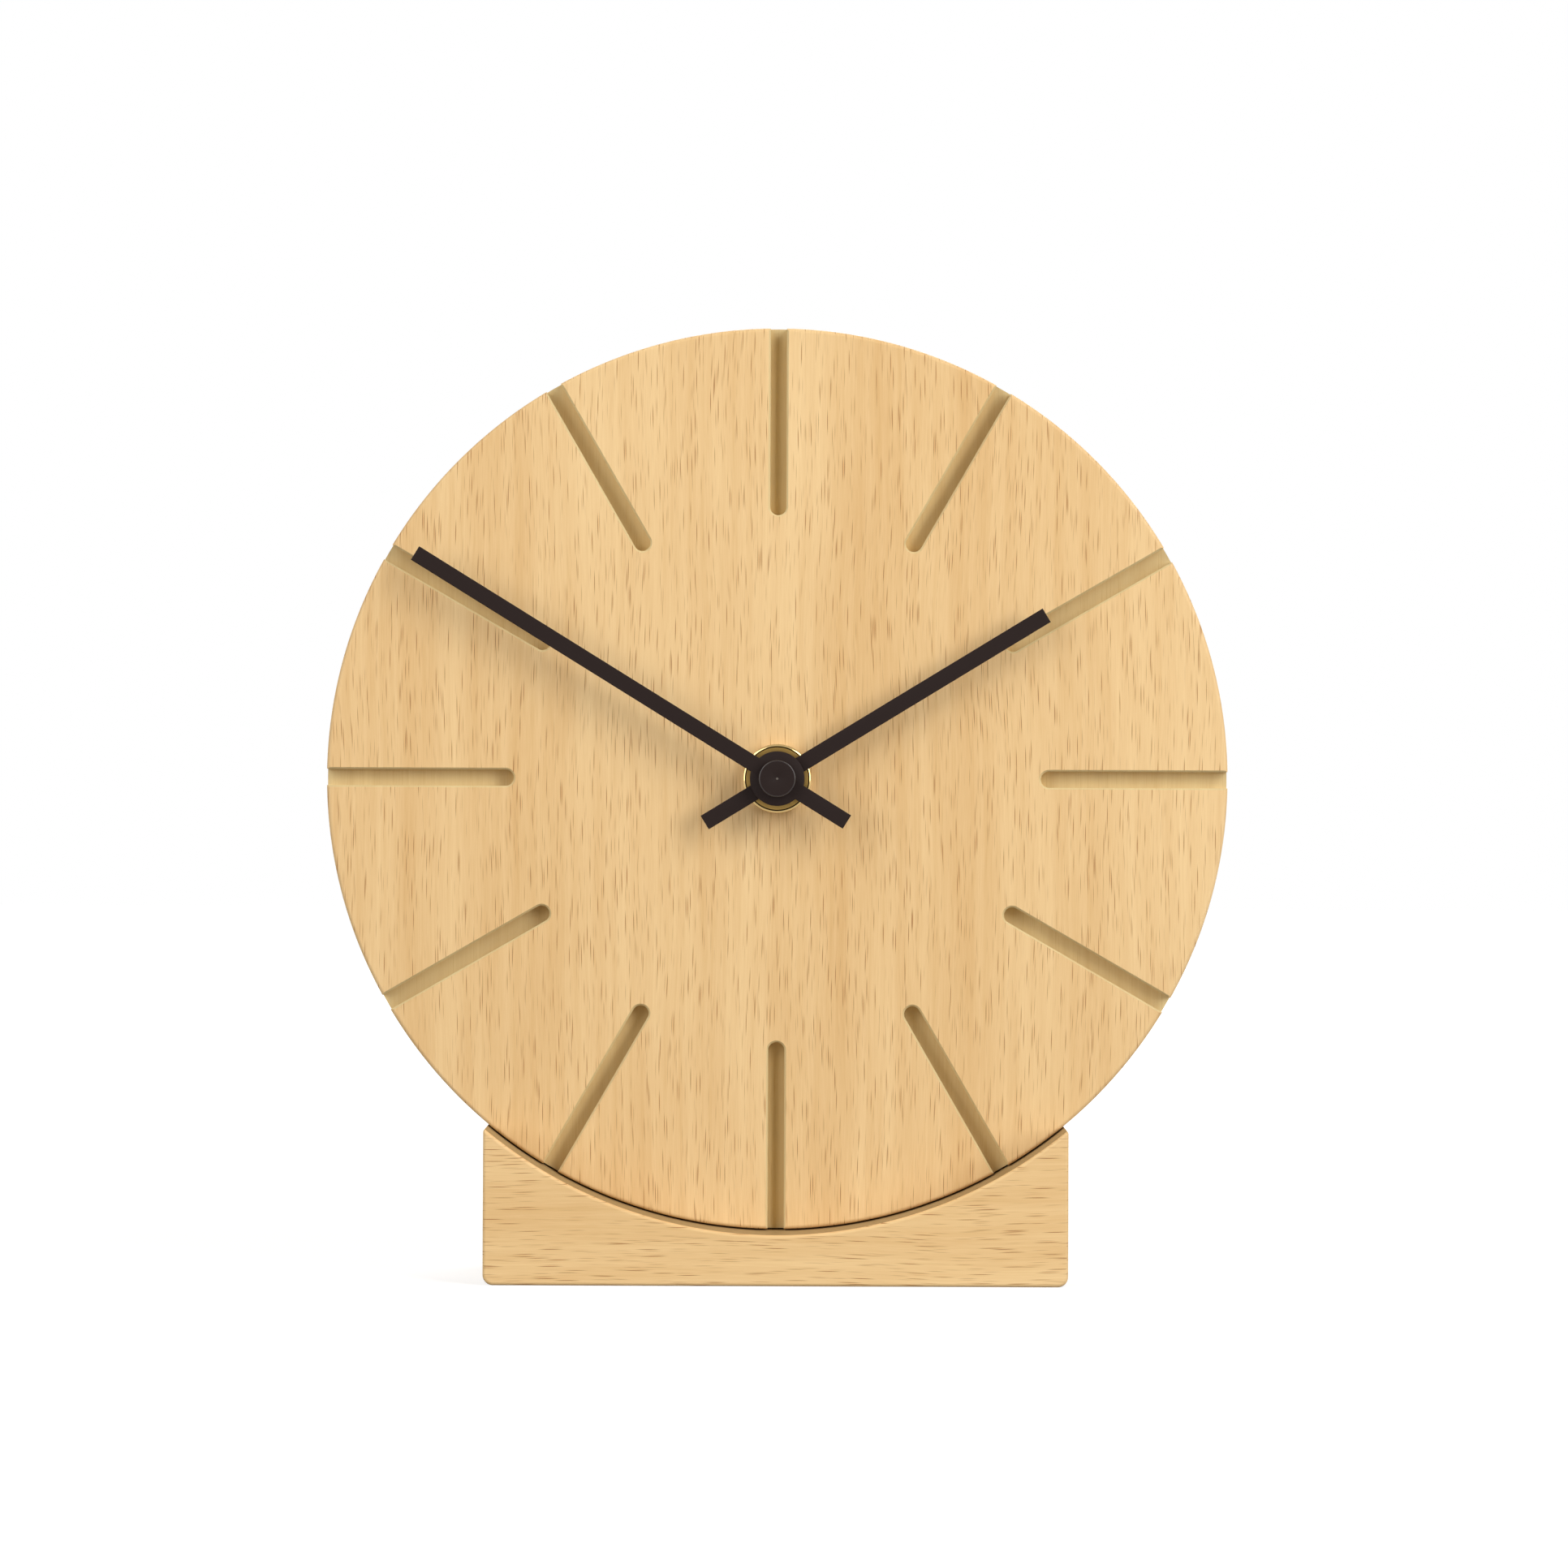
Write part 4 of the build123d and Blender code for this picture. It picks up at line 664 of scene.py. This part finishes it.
class MakeHands(Operator):
    """Cut both bar hands with their hubs and turn the cap"""

    bl_idname = "desk_clock.make_hands"
    bl_label = "Hands and Cap"

    def execute(self, context):
        sizes = context.scene.desk_clock.hands
        # Matt lacquer: an even brownish black without highlights
        lacquer = surface("aluminium, matt black lacquer", sizes.lacquer, 0.55, 0.0, 0.12, 0.1, 0.006, level=0.14)
        hands = (
            ("minute_bar", "minute_hand", "minute_shaft", sizes.minute_length, sizes.minute_tail,
             sizes.minute_bore, sizes.minute_angle),
            ("hour_bar", "hour_hand", "hour_shaft", sizes.hour_length, sizes.hour_tail,
             sizes.hour_bore, sizes.hour_angle),
        )
        half, radius, bevel = sizes.width / 2, sizes.hub / 2, sizes.bevel
        for name, node, body, reach, tail, bore, turn in hands:
            low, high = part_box(node)
            front, back = low.y, low.y + sizes.thickness
            edge = ((bevel, front), (bevel * 0.3, front + bevel * 0.3), (0, front + bevel))
            rings = []
            for inset, depth in (*edge, (0, back)):
                wide, long, short = half - inset, reach - inset, -tail + inset
                rings.append([(-wide, depth, short), (wide, depth, short), (wide, depth, long), (-wide, depth, long)])
            piece = draft(name, loft(name, rings, Matrix.Translation(HUB) @ Matrix.Rotation(turn, 4, "Y")))
            hub = [(0, front)] + [(radius - inset, depth) for inset, depth in edge] + [(radius, high.y), (0, high.y)]
            cut(piece, lathe("hub", hub, ABOUT_Y, 192), "UNION")
            hole = [(0, front - MM), (bore / 2, front - MM), (bore / 2, high.y + MM), (0, high.y + MM)]
            cut(piece, lathe("hole", hole, ABOUT_Y, 96))
            shade(piece.data, 30, 1.0)
            hand_over(piece, body, [node], [lacquer])
        self.cap(sizes, lacquer)
        return {"FINISHED"}

    def cap(self, sizes, lacquer):
        """Cap with a rubbed edge that shows as a thin ring, and a lighter grey metal dot at the pip, a painted
        highlight.
        """
        # Painted highlight: the pip's grey metal stands in for the small glint at the cap's centre
        pip_highlight = surface("aluminium, grey dot painted at the pip", paint("#5C5650"), 0.4, 1.0, 0.1, 0.05, 0.002)
        gloss = surface("aluminium, black lacquer rubbed bright", sizes.lacquer, 0.28, 0.0, 0.12, 0.1, 0.004)
        front, back = CAP_LOW.y, CAP_HIGH.y
        radius, rim, steps = (CAP_HIGH.x - CAP_LOW.x) / 2, sizes.cap_rim, 10
        profile = [(0, front + sizes.pip_depth), (sizes.pip_radius, front)]
        profile += arc((radius - rim, front + rim), rim, -90, 0, steps) + [(radius, back), (0, back)]
        finishes = [1, 0] + [2] * steps + [0, 0]
        mesh = lathe("hand_cap_turned", profile, ABOUT_Y, 192, False, finishes)
        piece = draft("hand_cap_turned", shade(mesh, 30, 0.5))
        hand_over(piece, "minute_shaft", ["hand_cap"], [lacquer, pip_highlight, gloss])


class MakeBack(Operator):
    """Mould the movement's case, cover and knob, wrap the cell and finish the pieces inside"""

    bl_idname = "desk_clock.make_back"
    bl_label = "Movement"

    def execute(self, context):
        sizes = context.scene.desk_clock.back
        # Spark texture takes the shine off the case; the knob and the plated steel keep theirs
        plastic = surface("ABS, moulded, fine spark texture", sizes.plastic, 0.55, 0.0, 0.25, 0.12, 0.03)
        steel = surface("steel, nickel plated", paint("#C9C7C1"), 0.25, 1.0, 0.3, 0.05, 0.004)
        smooth = surface("acetal, moulded smooth", sizes.knob, 0.3, 0.0, 0.4, 0.06, 0.006)
        moulded = (("case_shell", "movement_front_case", "clock", plastic),
                   ("case_cover", "movement_back_cover", "clock", plastic),
                   ("knob_ribbed", "setting_knob", "knob", smooth))
        for name, node, body, finish in moulded:
            piece = draft(name, merged_copy(node, name))
            if node == "movement_back_cover":
                self.marks(piece, sizes)
            step = piece.modifiers.new("edge", "BEVEL")
            step.width = sizes.edge
            step.segments = 2
            step.limit_method = "ANGLE"
            step.angle_limit = math.radians(50)
            settle(piece)
            shade(piece.data, 35, 2.0)
            hand_over(piece, body, [node], [finish])
        self.cell(sizes, steel)
        # Inside the case: bright plated and stamped metal, waxy pale plastics, a glossy board and chip
        inside = {
            "zinc_steel": surface("steel, zinc plated", paint("#C8C2AE"), 0.32, 1.0, 0.3, 0.06, 0.004),
            "tinned_steel": steel,
            "brass": surface("brass, turned", paint("#D2AC63"), 0.25, 1.0, 0.2, 0.05, 0.004),
            "rubber": surface("rubber, moulded", paint("#1C1C1D"), 0.75, 0.0, 0.5, 0.1, 0.02),
            "white_plastic": surface("polystyrene, moulded", paint("#E4E2DA"), 0.45, 0.0, 0.5, 0.03, 0.01),
            "wheel_plastic": surface("acetal, moulded", paint("#DDD8C6"), 0.4, 0.0, 0.5, 0.03, 0.008),
            "board": surface("laminate, green solder mask", paint("#1F5E38"), 0.35, 0.0, 0.8, 0.1, 0.01),
            "resin": surface("epoxy, poured black", paint("#141414"), 0.2, 0.0, 1.0, 0.08, 0.01),
            "soft_iron": surface("iron sheet, stamped", paint("#8E8D8B"), 0.4, 1.0, 0.3, 0.08, 0.006),
            "copper": surface("copper wire, enamelled", paint("#B8703F"), 0.3, 1.0, 0.1, 0.12, 0.02, (8, 8, 1)),
            "magnet": surface("ferrite, sintered", paint("#3A3A3C"), 0.55, 0.0, 0.2, 0.15, 0.01),
        }
        for part in frame["record"]["subparts"]:
            finish = inside.get(part["material_slot"])
            if finish:
                for holder in NODES[part["node"]].material_slots:
                    holder.material = finish
        return {"FINISHED"}

    def marks(self, cover, sizes):
        """Raised marks on the cover: two bent arrows round the knob, and the signs of the cell's ends."""
        knob = ((KNOB_LOW.x + KNOB_HIGH.x) / 2, (KNOB_LOW.z + KNOB_HIGH.z) / 2)
        radius, half, head, lead = sizes.arrow_radius, 0.4 * MM, 1.1 * MM, 18
        outlines = []
        for start, end in ((35, 125), (-35, -125)):
            tip = end + lead * (1 if end > start else -1)
            outline = arc(knob, radius + half, start, end, 16)
            for reach, at in ((radius + head, end), (radius, tip), (radius - head, end)):
                outline += arc(knob, reach, at, at, 1)[:1]
            outlines.append(outline + arc(knob, radius - half, end, start, 16))
        long, thick, inset, lift = 1.5 * MM, 0.35 * MM, 5 * MM, 3.2 * MM
        height = COVER_LOW.z + lift
        for side, arms in ((-1, ((long, thick),)), (1, ((long, thick), (thick, long)))):
            middle = side * (COVER_HIGH.x - inset)
            for wide, tall in arms:
                left, right, low, high = middle - wide, middle + wide, height - tall, height + tall
                outlines.append([(left, low), (right, low), (right, high), (left, high)])
        depths = (COVER_HIGH.y - sizes.mark_root, COVER_HIGH.y + sizes.mark_height)
        for outline in outlines:
            cut(cover, loft("mark", [[(x, y, z) for x, z in outline] for y in depths]), "UNION")

    def cell(self, sizes, steel):
        """Plain wrapped cell: a smooth film sleeve with soft highlights, and bare bright metal ends."""
        jacket = surface("film sleeve, shrunk on", sizes.jacket, 0.3, 0.0, 2.0, 0.05, 0.01)
        radius = (CELL_HIGH.z - CELL_LOW.z) / 2
        left, right = CELL_LOW.x, CELL_HIGH.x
        nub, nub_radius, nub_ease, nub_root = 1.2 * MM, 2.75 * MM, 0.25 * MM, 0.15 * MM
        ease, lip, step, sink, film = 0.6 * MM, 1.4 * MM, 0.3 * MM, 0.15 * MM, 0.02 * MM
        shoulder = right - nub
        opening = radius - lip
        profile = [(0, left + sink), (opening - step, left + sink), (opening, left + film), (radius - ease, left)]
        profile += arc((radius - ease, left + ease), ease, -90, 0, 6)[1:]
        profile += arc((radius - ease, shoulder - ease), ease, 0, 90, 6)
        profile += [(opening, shoulder - film), (opening - step, shoulder - sink)]
        profile += [(nub_radius + nub_root, shoulder - sink), (nub_radius, shoulder), (nub_radius, right - nub_ease)]
        profile += [(nub_radius - nub_ease, right), (0, right)]
        finishes = [1] * 2 + [0] * 16 + [1] * 5
        middle = Vector((0, (CELL_LOW.y + CELL_HIGH.y) / 2, (CELL_LOW.z + CELL_HIGH.z) / 2))
        place = Matrix.Translation(middle) @ Matrix.Rotation(math.pi / 2, 4, "Y")
        mesh = lathe("cell_wrapped", profile, place, 96, False, finishes)
        piece = draft("cell_wrapped", shade(mesh, 30, 3.0))
        hand_over(piece, "battery", ["battery"], [jacket, steel])


class MakeStage(Operator):
    """Lay the white floor and set the lights and the camera"""

    bl_idname = "desk_clock.make_stage"
    bl_label = "Stage"

    def execute(self, context):
        sizes = context.scene.desk_clock.stage
        scene = context.scene
        scene.view_settings.view_transform = "Standard"
        self.floor()
        self.world(scene, sizes)
        target = Vector((0, DISC_LOW.y, HUB.z))
        # Soft boxes: degrees aside and up, metres away, width and height in metres, power
        boxes = (
            ("left_box", -48, 22, 1.5, (1.0, 1.7), sizes.left),
            ("right_box", 48, 22, 1.5, (0.67, 1.5), sizes.right),
            ("back_box", 170, 40, 1.6, (1.2, 1.2), sizes.behind),
        )
        for name, aside, up, away, (wide, tall), watts in boxes:
            lamp = bpy.data.lights.new(name, "AREA")
            lamp.shape = "RECTANGLE"
            lamp.size, lamp.size_y, lamp.energy = wide, tall, watts
            holder = bpy.data.objects.new(name, lamp)
            scene.collection.objects.link(holder)
            turn, lift = math.radians(aside), math.radians(up)
            level = math.cos(lift)
            direction = Vector((math.sin(turn) * level, -math.cos(turn) * level, math.sin(lift)))
            holder.location = target + direction * away
            holder.rotation_euler = direction.to_track_quat("Z", "Y").to_euler()
        lens = bpy.data.cameras.new("camera")
        lens.sensor_width = 36.0
        lens.lens = lens.sensor_width * sizes.distance / sizes.frame_width
        camera = bpy.data.objects.new("camera", lens)
        scene.collection.objects.link(camera)
        camera.location = target + Vector((sizes.aside, -sizes.distance, -sizes.below))
        upright = Matrix.Rotation(math.pi / 2, 3, "X")
        camera.rotation_euler = (upright @ Matrix.Rotation(sizes.roll, 3, "Z")).to_euler()
        scene.camera = camera
        return {"FINISHED"}

    def floor(self):
        """White floor that keeps a faint shadow."""
        shape = bmesh.new()
        bmesh.ops.create_grid(shape, x_segments=1, y_segments=1, size=3.0)
        mesh = bpy.data.meshes.new("floor")
        shape.to_mesh(mesh)
        shape.free()
        floor = draft("floor", mesh)
        # Matt paper: white where it is seen, and greyer where it only throws light back
        material, tree, shader = new_material("paper, white, matt")
        tree.nodes.remove(shader)
        seen = self.seen(tree)
        paper = add(tree, "ShaderNodeBsdfDiffuse", {"Color": paint("#7C7C7C")}).outputs[0]
        shadow = add(tree, "ShaderNodeBsdfDiffuse", {"Color": paint("#AAAAAA")}).outputs[0]
        # Pure white far away; near the clock it leaves room for the shadow
        place = add(tree, "ShaderNodeTexCoord").outputs["Object"]
        away = add(tree, "ShaderNodeVectorMath", {0: place}, operation="LENGTH").outputs["Value"]
        fade = {"Value": away, "From Min": 0.15, "From Max": 0.5, "To Min": 0.74, "To Max": 1.0}
        strength = add(tree, "ShaderNodeMapRange", fade).outputs[0]
        glow = add(tree, "ShaderNodeEmission", {"Color": paint("#FFFFFF"), "Strength": strength}).outputs[0]
        white = add(tree, "ShaderNodeAddShader", {0: shadow, 1: glow}).outputs[0]
        mixed = add(tree, "ShaderNodeMixShader", {0: seen, 1: paper, 2: white}).outputs[0]
        tree.links.new(mixed, tree.nodes["Material Output"].inputs["Surface"])
        mesh.materials.append(material)

    def world(self, scene, sizes):
        """White where it is seen or mirrored, softer where it lights."""
        world = bpy.data.worlds.new("studio")
        world.use_nodes = True
        tree = world.node_tree
        back = tree.nodes["Background"]
        levels = {"Value": self.seen(tree), "To Min": sizes.sky, "To Max": 1.0}
        tree.links.new(add(tree, "ShaderNodeMapRange", levels).outputs[0], back.inputs["Strength"])
        back.inputs["Color"].default_value = paint("#FFFFFF")
        scene.world = world

    def seen(self, tree):
        """One for a ray that the camera sees, straight, mirrored or through glass."""
        path = add(tree, "ShaderNodeLightPath").outputs
        seen = path["Is Camera Ray"]
        for kind in ("Is Glossy Ray", "Is Transmission Ray"):
            seen = add(tree, "ShaderNodeMath", {0: seen, 1: path[kind]}, operation="MAXIMUM").outputs[0]
        return seen


class ClockPanel(Panel):
    """Sidebar panel with one button for each step"""

    bl_idname = "DESK_CLOCK_PT_steps"
    bl_label = "Desk Clock"
    bl_space_type = "VIEW_3D"
    bl_region_type = "UI"
    bl_category = "Desk Clock"

    def draw(self, context):
        for step in STEPS:
            self.layout.operator(step.bl_idname)


STEPS = (MakeDisc, MakeBase, MakeNut, MakeHands, MakeBack, MakeStage)
GROUPS = (DiscSettings, BaseSettings, HandSettings, BrassSettings, BackSettings, StageSettings, ClockSettings)


def register():
    for kind in (*GROUPS, *STEPS, ClockPanel):
        bpy.utils.register_class(kind)
    bpy.types.Scene.desk_clock = PointerProperty(type=ClockSettings)


def unregister():
    del bpy.types.Scene.desk_clock
    for kind in reversed((*GROUPS, *STEPS, ClockPanel)):
        bpy.utils.unregister_class(kind)


def main():
    register()
    bpy.ops.desk_clock.make_disc()
    bpy.ops.desk_clock.make_base()
    bpy.ops.desk_clock.make_nut()
    bpy.ops.desk_clock.make_hands()
    bpy.ops.desk_clock.make_back()
    bpy.ops.desk_clock.make_stage()


if __name__ == "__main__":
    main()
